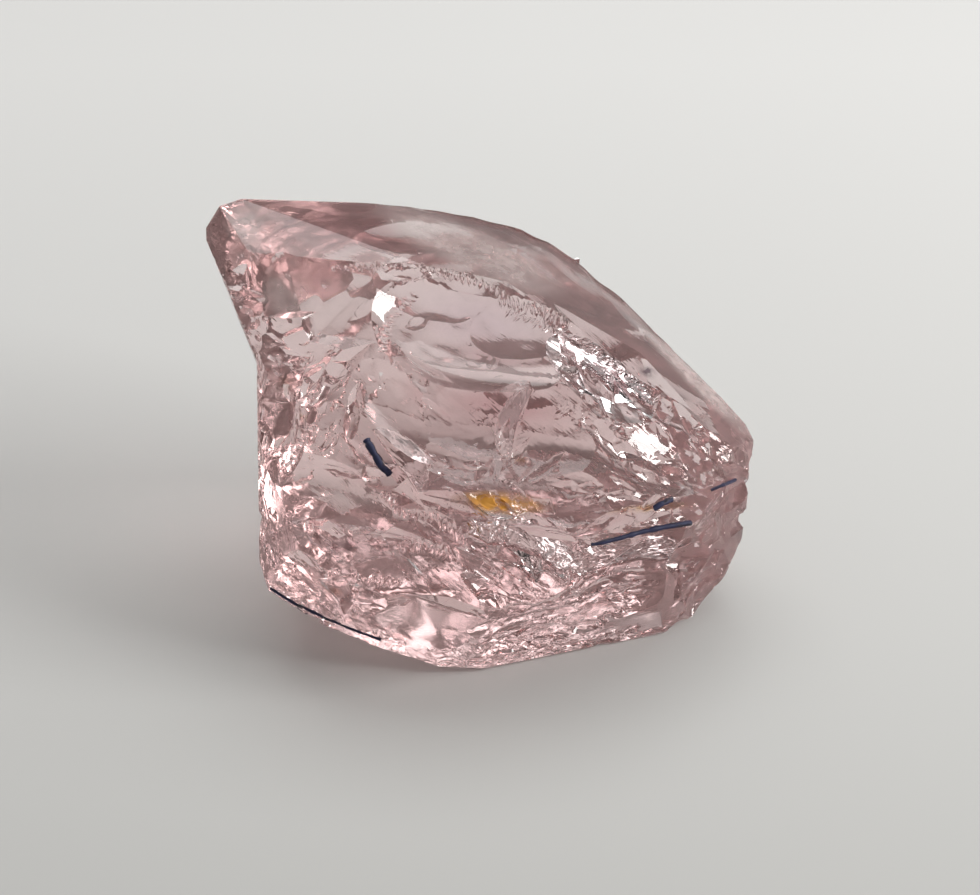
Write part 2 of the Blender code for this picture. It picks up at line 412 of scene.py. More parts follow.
class Value:
    """A node socket, with the arithmetic that adds nodes to its tree."""

    def __init__(self, tree: bpy.types.NodeTree, socket: bpy.types.NodeSocket) -> None:
        """Keeps the tree and the socket."""
        self.tree = tree
        self.socket = socket

    def _math(self, operation: str, *others: "Value | float") -> "Value":
        """Adds a Math node on this value and others."""
        node = self.tree.nodes.new("ShaderNodeMath")
        node.operation = operation
        for slot, part in zip(node.inputs, (self, *others)):
            if isinstance(part, Value):
                self.tree.links.new(part.socket, slot)
            else:
                slot.default_value = part
        return Value(self.tree, node.outputs[0])

    def _constant(self, number: float) -> "Value":
        """Adds a Value node for a number."""
        node = self.tree.nodes.new("ShaderNodeValue")
        node.outputs[0].default_value = number
        return Value(self.tree, node.outputs[0])

    def __add__(self, other: "Value | float") -> "Value":
        """Adds."""
        return self._math("ADD", other)

    __radd__ = __add__

    def __mul__(self, other: "Value | float") -> "Value":
        """Multiplies."""
        return self._math("MULTIPLY", other)

    __rmul__ = __mul__

    def __sub__(self, other: "Value | float") -> "Value":
        """Takes the other away."""
        return self._math("SUBTRACT", other)

    def __rsub__(self, other: float) -> "Value":
        """Takes this away from a number."""
        return self._constant(other)._math("SUBTRACT", self)

    def __truediv__(self, other: "Value | float") -> "Value":
        """Divides."""
        return self._math("DIVIDE", other)

    def __pow__(self, other: float) -> "Value":
        """Raises to a power."""
        return self._math("POWER", other)

    def clamped(self) -> "Value":
        """Holds the value between 0 and 1."""
        return self._math("MAXIMUM", 0.0)._math("MINIMUM", 1.0)

    def larger(self, other: "Value | float") -> "Value":
        """Takes the larger of the two."""
        return self._math("MAXIMUM", other)

    def root(self) -> "Value":
        """Takes the square root."""
        return self._math("SQRT")

    def sine(self) -> "Value":
        """Takes the sine."""
        return self._math("SINE")

    def size(self) -> "Value":
        """Takes the value without its sign."""
        return self._math("ABSOLUTE")


class Finish:
    """A material's tree, with the few calls that every finish is written in."""

    def __init__(self, name: str) -> None:
        """Starts an empty material."""
        self.material = bpy.data.materials.new(name)
        self.material.use_nodes = True
        self.tree = self.material.node_tree
        self.tree.nodes.clear()
        self.output = self.tree.nodes.new("ShaderNodeOutputMaterial")

    def node(self, kind: str, settings: dict | None = None, **sockets: object) -> bpy.types.Node:
        """Adds a node.

        Args:
            kind: the node's type.
            settings: its own settings, which are set first.
            sockets: values or links by socket name, with _ for each space.

        Returns:
            The node.
        """
        node = self.tree.nodes.new(kind)
        for key, setting in (settings or {}).items():
            if key == "stops":
                self._set_stops(node.color_ramp, setting)
            else:
                setattr(node, key, setting)
        for key, given in sockets.items():
            self.give(node, key.replace("_", " "), given)
        return node

    def _set_stops(self, ramp: bpy.types.ColorRamp, stops: list[tuple]) -> None:
        """Sets a ramp's stops from position and colour pairs."""
        while len(ramp.elements) < len(stops):
            ramp.elements.new(0.5)
        for element, (position, colour) in zip(ramp.elements, stops):
            element.position = position
            element.color = colour

    def give(self, node: bpy.types.Node, key: str, given: object) -> None:
        """Sets or links one input socket.

        Args:
            node: the node.
            key: the socket's name, or its number as text.
            given: a number, a tuple, a Value or a socket.
        """
        named = [s for s in node.inputs if s.enabled and s.name == key]
        slot = node.inputs[int(key)] if key.isdigit() else named[0]
        if isinstance(given, Value):
            self.tree.links.new(given.socket, slot)
        elif isinstance(given, bpy.types.NodeSocket):
            self.tree.links.new(given, slot)
        else:
            slot.default_value = given

    def value(self, socket: bpy.types.NodeSocket) -> Value:
        """Wraps a socket for arithmetic."""
        return Value(self.tree, socket)

    def place(self) -> bpy.types.NodeSocket:
        """The Object coordinates, in metres."""
        return self.node("ShaderNodeTexCoord").outputs["Object"]

    def mixed(self, share: Value, first: object, second: object) -> bpy.types.NodeSocket:
        """Mixes two colours.

        Args:
            share: how much of the second.
            first: the first colour or its socket.
            second: the second colour or its socket.

        Returns:
            The mixed colour's socket.
        """
        node = self.tree.nodes.new("ShaderNodeMix")
        node.data_type = "RGBA"
        self.tree.links.new(share.socket, node.inputs[0])
        for slot, given in ((node.inputs[6], first), (node.inputs[7], second)):
            if isinstance(given, bpy.types.NodeSocket):
                self.tree.links.new(given, slot)
            else:
                slot.default_value = given
        return node.outputs[2]

    def noise(self, scale: float, detail: float = 4.0, place: object = None, **more: object) -> Value:
        """Adds a noise texture.

        Args:
            scale: waves in a metre.
            detail: octaves.
            place: the coordinates, or None for the object's own.
            more: other sockets.

        Returns:
            The noise as a value.
        """
        where = place or self.place()
        node = self.node("ShaderNodeTexNoise", None, Vector=where, Scale=scale, Detail=detail, **more)
        return self.value(node.outputs[0])

    def oval(self, across: float, up: float, long: float, wide: float, turn: float, edge: float = 0.5) -> Value:
        """Masks an oval on the view plane, running through the stone from front to back.

        Args:
            across: the middle's place to the right, in millimetres.
            up: the middle's place up the view plane, in millimetres.
            long: half the length, in millimetres.
            wide: half the width, in millimetres.
            turn: the length's turn up from the across direction, in degrees.
            edge: how soft the rim is, as a share.

        Returns:
            1 in the middle and 0 outside.
        """
        cos, sin = math.cos(math.radians(turn)), math.sin(math.radians(turn))
        along = VIEW.direction(cos, sin, 0.0) / (long * MM)
        aside = VIEW.direction(-sin, cos, 0.0) / (wide * MM)
        middle = VIEW.placed(across, up, 0.0) * MM
        moved = self.node("ShaderNodeVectorMath", {"operation": "SUBTRACT"})
        self.give(moved, "0", self.place())
        self.give(moved, "1", tuple(middle))
        parts = []
        for direction in (along, aside):
            dot = self.node("ShaderNodeVectorMath", {"operation": "DOT_PRODUCT"})
            self.give(dot, "0", moved.outputs[0])
            self.give(dot, "1", tuple(direction))
            parts.append(self.value(dot.outputs["Value"]))
        radius = (parts[0] * parts[0] + parts[1] * parts[1]).root()
        return ((1.0 - radius) / edge).clamped()

    def written(self, name: str) -> bpy.types.Node:
        """Reads an attribute written on the piece's vertices."""
        return self.node("ShaderNodeAttribute", {"attribute_name": name})

    def surface(self, socket: bpy.types.NodeSocket) -> None:
        """Links the surface shader."""
        self.tree.links.new(socket, self.output.inputs["Surface"])


@dataclass(frozen=True)
class Patch:
    """An oval patch of the photograph.

    Attributes:
        pixel: its middle, in pixels of the photograph.
        long: half its length, in millimetres.
        wide: half its width, in millimetres.
        turn: its turn up from the right, in degrees.
        edge: how soft its rim is, as a share.
    """

    pixel: tuple[float, float]
    long: float
    wide: float
    turn: float
    edge: float = 0.7

    def mask(self, finish: Finish) -> Value:
        """Masks the patch with nodes."""
        return finish.oval(*from_pixel(*self.pixel), self.long, self.wide, self.turn, self.edge)

    def shares(self, seen: np.ndarray) -> np.ndarray:
        """Masks the patch at view-plane points."""
        across, up = from_pixel(*self.pixel)
        cos, sin = math.cos(math.radians(self.turn)), math.sin(math.radians(self.turn))
        along = ((seen[:, 0] - across) * cos + (seen[:, 1] - up) * sin) / self.long
        aside = ((seen[:, 1] - up) * cos - (seen[:, 0] - across) * sin) / self.wide
        return np.clip((1.0 - np.hypot(along, aside)) / self.edge, 0.0, 1.0)


# Tints laid through the stone, front to back: those over the horn top and the dark hollow are painted shade
TINT_AND_SHADE_ZONES = [
    (Patch((350, 230), 2.3, 0.8, -3, 0.5), (0.74, 0.53, 0.55)),
    (Patch((478, 335), 2.8, 1.7, -14), (0.965, 0.865, 0.915)),
    (Patch((500, 410), 2.8, 1.1, -6), (0.80, 0.60, 0.62)),
    (Patch((620, 390), 2.9, 0.85, -42), (0.87, 0.73, 0.75)),
    (Patch((645, 580), 2.4, 1.1, 12), (0.95, 0.85, 0.86)),
    (Patch((430, 545), 2.3, 0.8, -20), (0.95, 0.86, 0.87)),
    (Patch((470, 250), 3.0, 0.8, -25, 0.4), (1.0, 0.96, 0.96)),
    (Patch((690, 370), 3.0, 0.4, -47, 0.4), (1.0, 0.97, 0.96)),
]

# Faces that broke dull: a patch and how frosted it is
FROSTED = [
    (Patch((470, 248), 3.1, 0.75, -25, 0.5), 0.42),
    (Patch((690, 370), 2.8, 0.33, -47, 0.5), 0.5),
    (Patch((290, 297), 1.0, 0.75, -10, 0.5), 0.35),
    (Patch((246, 228), 0.55, 0.65, 60, 0.6), 0.45),
    (Patch((350, 300), 1.3, 0.8, 40, 0.5), 0.18),
    (Patch((330, 490), 1.8, 0.45, -8, 0.5), 0.3),
    (Patch((430, 618), 2.1, 0.85, -8, 0.9), 0.25),
    (Patch((478, 335), 2.7, 1.6, -14, 0.4), 0.16),
]

# Parts that broke smooth
CALM = [
    Patch((478, 338), 2.7, 1.75, -14, 0.3),
    Patch((340, 295), 2.4, 1.3, 10, 0.4),
    Patch((400, 232), 6.0, 1.25, -8, 0.4),
    Patch((650, 330), 4.5, 0.9, -44, 0.4),
    Patch((430, 618), 1.7, 1.0, -8, 0.4),
]

# Painted shade and stain spots: a patch, its strength and its colour. Dark ones shade four chips and the horn; orange
# ones are stain
SHADE_AND_STAIN_SPOTS = [
    (Patch((291, 221), 0.60, 0.15, 38), 1.0, (0.34, 0.25, 0.28)),
    (Patch((648, 372), 0.32, 0.17, -20), 1.0, (0.10, 0.07, 0.09)),
    (Patch((343, 546), 0.62, 0.24, 5), 1.0, (0.32, 0.23, 0.25)),
    (Patch((337, 591), 0.30, 0.20, 0), 1.0, (0.40, 0.26, 0.22)),
    (Patch((287, 384), 0.28, 0.32, 0), 1.0, (0.45, 0.33, 0.28)),
    (Patch((650, 507), 1.5, 0.15, 5), 0.8, (0.93, 0.62, 0.22)),
    (Patch((305, 418), 0.16, 0.12, 0), 0.7, (0.93, 0.62, 0.22)),
    (Patch((520, 460), 0.30, 0.14, -20), 0.5, (0.93, 0.62, 0.22)),
]

# The part of the stone whose fine streaks run the second way
SECOND_WAY = Patch((650, 570), 3.6, 2.4, 12, 0.5)


@dataclass(frozen=True)
class Looks:
    """What changes over the stone's surface, written on its vertices for the finish to read.

    Attributes:
        tint: what the plain surface lets through.
        back_start: how far behind the view plane's centre the back begins, in millimetres.
        back_fade: over what distance it fades in, in millimetres.
        back_roughness: how rough the back is.
        frosted_roughness: how rough the clear part of a dull face is.
    """

    tint: tuple[float, float, float] = (1.0, 0.915, 0.92)
    back_start: float = -1.0
    back_fade: float = 1.2
    back_roughness: float = 0.16
    frosted_roughness: float = 0.25

    def write(self, stone: bpy.types.Object) -> None:
        """Writes the attributes.

        Args:
            stone: the stone, in millimetres.
        """
        mesh = stone.data
        points = np.zeros(len(mesh.vertices) * 3)
        mesh.vertices.foreach_get("co", points)
        seen = VIEW.measured(points.reshape(-1, 3))
        shade = np.tile(np.array(self.tint), (len(seen), 1))
        # tints, with painted shade over the horn top and the dark hollow
        for patch, zone in TINT_AND_SHADE_ZONES:
            share = patch.shares(seen)[:, None]
            shade = shade * (1.0 - share) + np.array(zone) * share
        frost = np.zeros(len(seen))
        for patch, strength in FROSTED:
            frost = np.maximum(frost, patch.shares(seen) * strength)
        back = np.clip((self.back_start - seen[:, 2]) / self.back_fade, 0.0, 1.0)
        frost *= 1.0 - back
        calm = np.max([patch.shares(seen) for patch in CALM], axis=0) * (1.0 - back)
        # painted shade and stain: dark spots in four chips and across the horn, orange spots of stain
        shade_and_stain_spot, shade_and_stain_colour = np.zeros(len(seen)), shade.copy()
        for patch, strength, zone in SHADE_AND_STAIN_SPOTS:
            share = patch.shares(seen)
            shade_and_stain_colour[share > 0.0] = zone
            shade_and_stain_spot = np.maximum(shade_and_stain_spot, share * strength)
        for name, colours in (("shade", shade), ("shade_and_stain_colour", shade_and_stain_colour)):
            layer = mesh.attributes.new(name, "FLOAT_COLOR", "POINT")
            layer.data.foreach_set("color", np.column_stack((colours, np.ones(len(seen)))).astype(np.float32).ravel())
        for name, values in (
            ("frost", frost),
            ("front", 1.0 - back),
            ("calm", calm),
            ("rough", 0.012 + frost * self.frosted_roughness + back * self.back_roughness),
            ("shade_and_stain_spot", shade_and_stain_spot),
            ("second_way", SECOND_WAY.shares(seen)),
        ):
            layer = mesh.attributes.new(name, "FLOAT", "POINT")
            layer.data.foreach_set("value", values.astype(np.float32))


@dataclass(frozen=True)
class ClearPink:
    """The clear pink of the stone, with its stain, its painted shade, dull faces and fine broken texture.

    Attributes:
        depth_tint: what a long way through the stone lets through.
        absorption: how much a metre of the stone takes.
        ior: tourmaline's refractive index.
        frost: the colour of a dull face.
        stain: the orange of the stain.
        streak_long: a fine streak's length in metres.
        streak_wide: a fine streak's width in metres.
    """

    depth_tint: tuple[float, float, float, float] = (0.82, 0.46, 0.44, 1.0)
    absorption: float = 62.0
    ior: float = 1.63
    frost: tuple[float, float, float, float] = (0.74, 0.63, 0.61, 1.0)
    stain: tuple[float, float, float, float] = (0.66, 0.30, 0.04, 1.0)
    streak_long: float = 0.0009
    streak_wide: float = 0.0001

    def material(self) -> bpy.types.Material:
        """Builds the finish."""
        finish = Finish("clear_pink_stone")
        calm = finish.value(finish.written("calm").outputs["Fac"])
        second = finish.value(finish.written("second_way").outputs["Fac"])
        streaks = self._streaks(finish, -40.0) * (1.0 - second) + self._streaks(finish, 12.0) * second
        height = (streaks + finish.noise(5000.0, 1.0) * 0.2) * (1.0 - calm * 0.95)
        bump = finish.node("ShaderNodeBump", None, Strength=0.2, Distance=0.00004, Height=height)

        grain = finish.noise(3200.0, 3.0)
        front = finish.value(finish.written("front").outputs["Fac"])
        spotted = (grain * 3.2 - 0.85).clamped() * front * 1.5
        colour = finish.written("shade").outputs["Color"]
        # painted shade and stain spots, broken up by the grain
        shade_and_stain_spot = (finish.value(finish.written("shade_and_stain_spot").outputs["Fac"]) * spotted).clamped()
        colour = finish.mixed(shade_and_stain_spot, colour, finish.written("shade_and_stain_colour").outputs["Color"])
        clear = finish.node(
            "ShaderNodeBsdfPrincipled",
            None,
            Base_Color=colour,
            Roughness=finish.written("rough").outputs["Fac"],
            IOR=self.ior,
            Transmission_Weight=1.0,
            Normal=bump.outputs[0],
        )
        dull = finish.node("ShaderNodeBsdfPrincipled", None, Base_Color=self.frost, Roughness=0.5, IOR=self.ior)
        frosted = finish.node("ShaderNodeMixShader")
        dulled = finish.value(finish.written("frost").outputs["Fac"]) * (grain * 1.5 + 0.05)
        finish.give(frosted, "0", dulled)
        finish.give(frosted, "1", clear.outputs[0])
        finish.give(frosted, "2", dull.outputs[0])
        orange = finish.node(
            "ShaderNodeBsdfPrincipled", None, Base_Color=self.stain, Roughness=0.5, Normal=bump.outputs[0]
        )
        middle = self._patchy(finish, Patch((494, 502), 0.75, 0.30, -6), spotted)
        wings = self._patchy(finish, Patch((502, 502), 1.5, 0.36, -4), spotted) * 0.5
        stained = finish.node("ShaderNodeMixShader")
        finish.give(stained, "0", middle.larger(wings))
        finish.give(stained, "1", frosted.outputs[0])
        finish.give(stained, "2", orange.outputs[0])
        finish.surface(stained.outputs[0])
        body = finish.node("ShaderNodeVolumeAbsorption", None, Color=self.depth_tint, Density=self.absorption)
        finish.tree.links.new(body.outputs[0], finish.output.inputs["Volume"])
        return finish.material

    def _streaks(self, finish: Finish, turn: float) -> Value:
        """Adds fine ridges that run one way on the view plane.

        Args:
            finish: the finish to add to.
            turn: the way they run, in degrees up from the right.

        Returns:
            Their height, from 0 to 1.
        """
        cos, sin = math.cos(math.radians(turn)), math.sin(math.radians(turn))
        stretched = finish.node("ShaderNodeCombineXYZ")
        for axis, direction, size in (
            ("X", VIEW.direction(cos, sin, 0.0), self.streak_long),
            ("Y", VIEW.direction(-sin, cos, 0.0), self.streak_wide),
            ("Z", VIEW.direction(0.0, 0.0, 1.0), self.streak_wide * 2),
        ):
            part = finish.node("ShaderNodeVectorMath", {"operation": "DOT_PRODUCT"})
            finish.give(part, "0", finish.place())
            finish.give(part, "1", tuple(direction / size))
            finish.give(stretched, axis, part.outputs["Value"])
        return finish.noise(1.0, 1.0, stretched.outputs[0])

    def _patchy(self, finish: Finish, patch: Patch, spotted: Value) -> Value:
        """Masks a patch that is broken up and fades out."""
        return (patch.mask(finish) * spotted).clamped()


@dataclass(frozen=True)
class DarkNeedle:
    """The dark blue-black of the needle inclusions."""

    colour: tuple[float, float, float, float] = (0.008, 0.010, 0.035, 1.0)

    def material(self) -> bpy.types.Material:
        """Builds the finish."""
        finish = Finish("dark_needle")
        patches = finish.noise(4000.0, 3.0)
        colour = finish.mixed(patches, self.colour, (0.03, 0.035, 0.11, 1.0))
        shader = finish.node("ShaderNodeBsdfPrincipled", None, Base_Color=colour, Roughness=0.55)
        finish.surface(shader.outputs[0])
        return finish.material


@dataclass(frozen=True)
class PaleTable:
    """The pale, faintly glossy table top, with painted shade: its colour darkens towards the viewer, where light
    falls off.

    Attributes:
        near: its colour in front of the stone, darkened there as painted shade.
        far: its colour behind the stone.
        span: where it turns from near to far, in metres to the back.
    """

    near: tuple[float, float, float, float] = (0.54, 0.54, 0.525, 1.0)
    far: tuple[float, float, float, float] = (0.81, 0.81, 0.80, 1.0)
    span: tuple[float, float] = (-0.018, 0.026)

    def material(self) -> bpy.types.Material:
        """Builds the finish."""
        finish = Finish("pale_table")
        split = finish.node("ShaderNodeSeparateXYZ", None, Vector=finish.place())
        share = (finish.value(split.outputs["Y"]) - self.span[0]) / (self.span[1] - self.span[0])
        # painted shade: the table's colour darkens towards the viewer in place of light falling off
        colour = finish.mixed(share.clamped(), self.near, self.far)
        shader = finish.node("ShaderNodeBsdfPrincipled", None, Base_Color=colour, Roughness=0.42)
        finish.surface(shader.outputs[0])
        return finish.material


def bowl(tree: bpy.types.NodeTree, sides: int) -> bpy.types.NodeSocket:
    """Adds a bowl whose rim runs on outwards, bent from a cone.

    Args:
        tree: the tree to add the nodes to.
        sides: how many sides the bowl has.

    Returns:
        The bowl's socket.
    """
    new, link = tree.nodes.new, tree.links.new
    cone = new("GeometryNodeMeshCone")
    cone.inputs["Vertices"].default_value = sides
    cone.inputs["Side Segments"].default_value = 4
    cone.inputs["Radius Top"].default_value = 0.0
    cone.inputs["Radius Bottom"].default_value = 1.0
    cone.inputs["Depth"].default_value = 1.0
    at = new("GeometryNodeInputPosition")
    flat = new("ShaderNodeVectorMath")
    flat.operation = "MULTIPLY"
    link(at.outputs[0], flat.inputs[0])
    flat.inputs[1].default_value = (1.0, 1.0, 0.0)
    radius = new("ShaderNodeVectorMath")
    radius.operation = "LENGTH"
    link(flat.outputs[0], radius.inputs[0])
    reach = Value(tree, radius.outputs["Value"])
    height = reach * reach * 2.9 - 1.0
    chimney = (reach - 0.9).clamped() * 60.0
    up = new("ShaderNodeCombineXYZ")
    link((height + chimney).socket, up.inputs["Z"])
    bent = new("ShaderNodeVectorMath")
    bent.operation = "MULTIPLY_ADD"
    link(flat.outputs[0], bent.inputs[0])
    bent.inputs[1].default_value = (1.3, 1.3, 0.0)
    link(up.outputs[0], bent.inputs[2])
    moved = new("GeometryNodeSetPosition")
    link(cone.outputs["Mesh"], moved.inputs["Geometry"])
    link(bent.outputs[0], moved.inputs["Position"])
    return moved.outputs[0]


def joined(parts: list[bpy.types.Object], name: str) -> bpy.types.Object:
    """Joins cutters into one and turns its faces outwards.

    Args:
        parts: the cutters, which are removed.
        name: the new cutter's name.

    Returns:
        The one cutter.
    """
    shape = bmesh.new()
    for part in parts:
        shape.from_mesh(part.data)
        mesh = part.data
        bpy.data.objects.remove(part)
        bpy.data.meshes.remove(mesh)
    bmesh.ops.recalc_face_normals(shape, faces=shape.faces)
    return object_from(shape, name)


@dataclass(frozen=True)
class SmallFlakes:
    """Shallow flakes struck off the broken side along its grain, made by Geometry Nodes.

    Attributes:
        per_square_mm: how many there are on a square millimetre of fully broken surface.
        least: the smallest flake's half width.
        most: the largest flake's half width.
        seed: the scatter's seed.
    """

    per_square_mm: float = 3.3
    least: float = 0.09
    most: float = 0.62
    seed: int = 7

    def tree(self) -> bpy.types.NodeTree:
        """Builds the tree that scatters flakes over a surface.

        Returns:
            The node tree, whose inputs are the surface, Density, Least, Most and Seed.
        """
        tree = bpy.data.node_groups.new("small_flakes", "GeometryNodeTree")
        face = tree.interface
        face.new_socket("Geometry", in_out="OUTPUT", socket_type="NodeSocketGeometry")
        face.new_socket("Surface", in_out="INPUT", socket_type="NodeSocketGeometry")
        for name in ("Density", "Least", "Most"):
            face.new_socket(name, in_out="INPUT", socket_type="NodeSocketFloat")
        face.new_socket("Seed", in_out="INPUT", socket_type="NodeSocketInt")
        new, link = tree.nodes.new, tree.links.new
        given = new("NodeGroupInput")
        result = new("NodeGroupOutput")

        broken = new("GeometryNodeInputNamedAttribute")
        broken.data_type = "FLOAT"
        broken.inputs["Name"].default_value = "broken"
        density = new("ShaderNodeMath")
        density.operation = "MULTIPLY"
        link(given.outputs["Density"], density.inputs[0])
        link(broken.outputs[0], density.inputs[1])
        scatter = new("GeometryNodeDistributePointsOnFaces")
        link(given.outputs["Surface"], scatter.inputs["Mesh"])
        link(density.outputs[0], scatter.inputs["Density"])
        link(given.outputs["Seed"], scatter.inputs["Seed"])

        shapes = new("GeometryNodeJoinGeometry")
        for sides in (8, 7, 4):
            apart = new("GeometryNodeGeometryToInstance")
            link(bowl(tree, sides), apart.inputs[0])
            link(apart.outputs[0], shapes.inputs[0])

        grain = new("GeometryNodeInputNamedAttribute")
        grain.data_type = "FLOAT_VECTOR"
        grain.inputs["Name"].default_value = "grain"
        aligned = new("FunctionNodeAlignRotationToVector")
        aligned.axis = "X"
        aligned.pivot_axis = "Z"
        link(scatter.outputs["Rotation"], aligned.inputs["Rotation"])
        link(grain.outputs[0], aligned.inputs["Vector"])
        spin = new("FunctionNodeRandomValue")
        spin.data_type = "FLOAT_VECTOR"
        spin.inputs[0].default_value = (-0.3, -0.2, -0.45)
        spin.inputs[1].default_value = (0.3, 0.2, 0.45)
        link(given.outputs["Seed"], spin.inputs["Seed"])
        tilt = new("FunctionNodeEulerToRotation")
        link(spin.outputs[0], tilt.inputs[0])
        turned = new("FunctionNodeRotateRotation")
        turned.rotation_space = "LOCAL"
        link(aligned.outputs[0], turned.inputs[0])
        link(tilt.outputs[0], turned.inputs[1])

        chance = new("FunctionNodeRandomValue")
        chance.data_type = "FLOAT"
        link(given.outputs["Seed"], chance.inputs["Seed"])
        rare = new("ShaderNodeMath")
        rare.operation = "POWER"
        link(chance.outputs[1], rare.inputs[0])
        rare.inputs[1].default_value = 2.2
        wide = new("ShaderNodeMapRange")
        link(rare.outputs[0], wide.inputs["Value"])
        link(given.outputs["Least"], wide.inputs["To Min"])
        link(given.outputs["Most"], wide.inputs["To Max"])
        flat = new("FunctionNodeRandomValue")
        flat.data_type = "FLOAT_VECTOR"
        flat.inputs[0].default_value = (1.0, 0.5, 0.16)
        flat.inputs[1].default_value = (2.6, 1.0, 0.4)
        sized = new("ShaderNodeVectorMath")
        sized.operation = "SCALE"
        link(flat.outputs[0], sized.inputs[0])
        link(wide.outputs[0], sized.inputs["Scale"])

        place = new("GeometryNodeInstanceOnPoints")
        link(scatter.outputs["Points"], place.inputs["Points"])
        link(shapes.outputs[0], place.inputs["Instance"])
        place.inputs["Pick Instance"].default_value = True
        link(turned.outputs[0], place.inputs["Rotation"])
        link(sized.outputs[0], place.inputs["Scale"])
        real = new("GeometryNodeRealizeInstances")
        link(place.outputs[0], real.inputs[0])
        dressed = new("GeometryNodeSetMaterial")
        link(real.outputs[0], dressed.inputs[0])
        link(dressed.outputs[0], result.inputs[0])
        return tree

    def cutters(self, stone: bpy.types.Object) -> bpy.types.Object:
        """Scatters the flakes over the stone.

        Args:
            stone: the stone, whose vertices carry how broken each place is and its grain.

        Returns:
            All the flakes as one cutter.
        """
        carrier = bpy.data.objects.new("small_flakes", stone.data.copy())
        bpy.context.scene.collection.objects.link(carrier)
        modifier = carrier.modifiers.new("small_flakes", "NODES")
        modifier.node_group = self.tree()
        inputs = [item for item in modifier.node_group.interface.items_tree if item.in_out == "INPUT"]
        named = {item.name: item.identifier for item in inputs}
        modifier[named["Density"]] = self.per_square_mm
        modifier[named["Least"]] = self.least
        modifier[named["Most"]] = self.most
        modifier[named["Seed"]] = self.seed
        return evaluated_copy(carrier, "small_flakes_cutter")


@dataclass(frozen=True)
class Comb:
    """A row of fine teeth left where a fracture ran out.

    Attributes:
        pixels: its course, in pixels of the photograph.
        length: half a tooth's length, in millimetres.
        spacing: the teeth's spacing, in millimetres.
        lean: the teeth's lean from square to the course, in degrees.
    """

    pixels: tuple[tuple[float, float], ...]
    length: float
    spacing: float
    lean: float = 0.0

    def course(self, step: float = 6.0) -> list[tuple[float, float]]:
        """Fills the course in with pixels a step apart."""
        filled = []
        for start, end in zip(self.pixels, self.pixels[1:]):
            count = max(1, round(math.dist(start, end) / step))
            for part in range(count):
                share = part / count
                filled.append((start[0] + (end[0] - start[0]) * share, start[1] + (end[1] - start[1]) * share))
        return filled + [self.pixels[-1]]


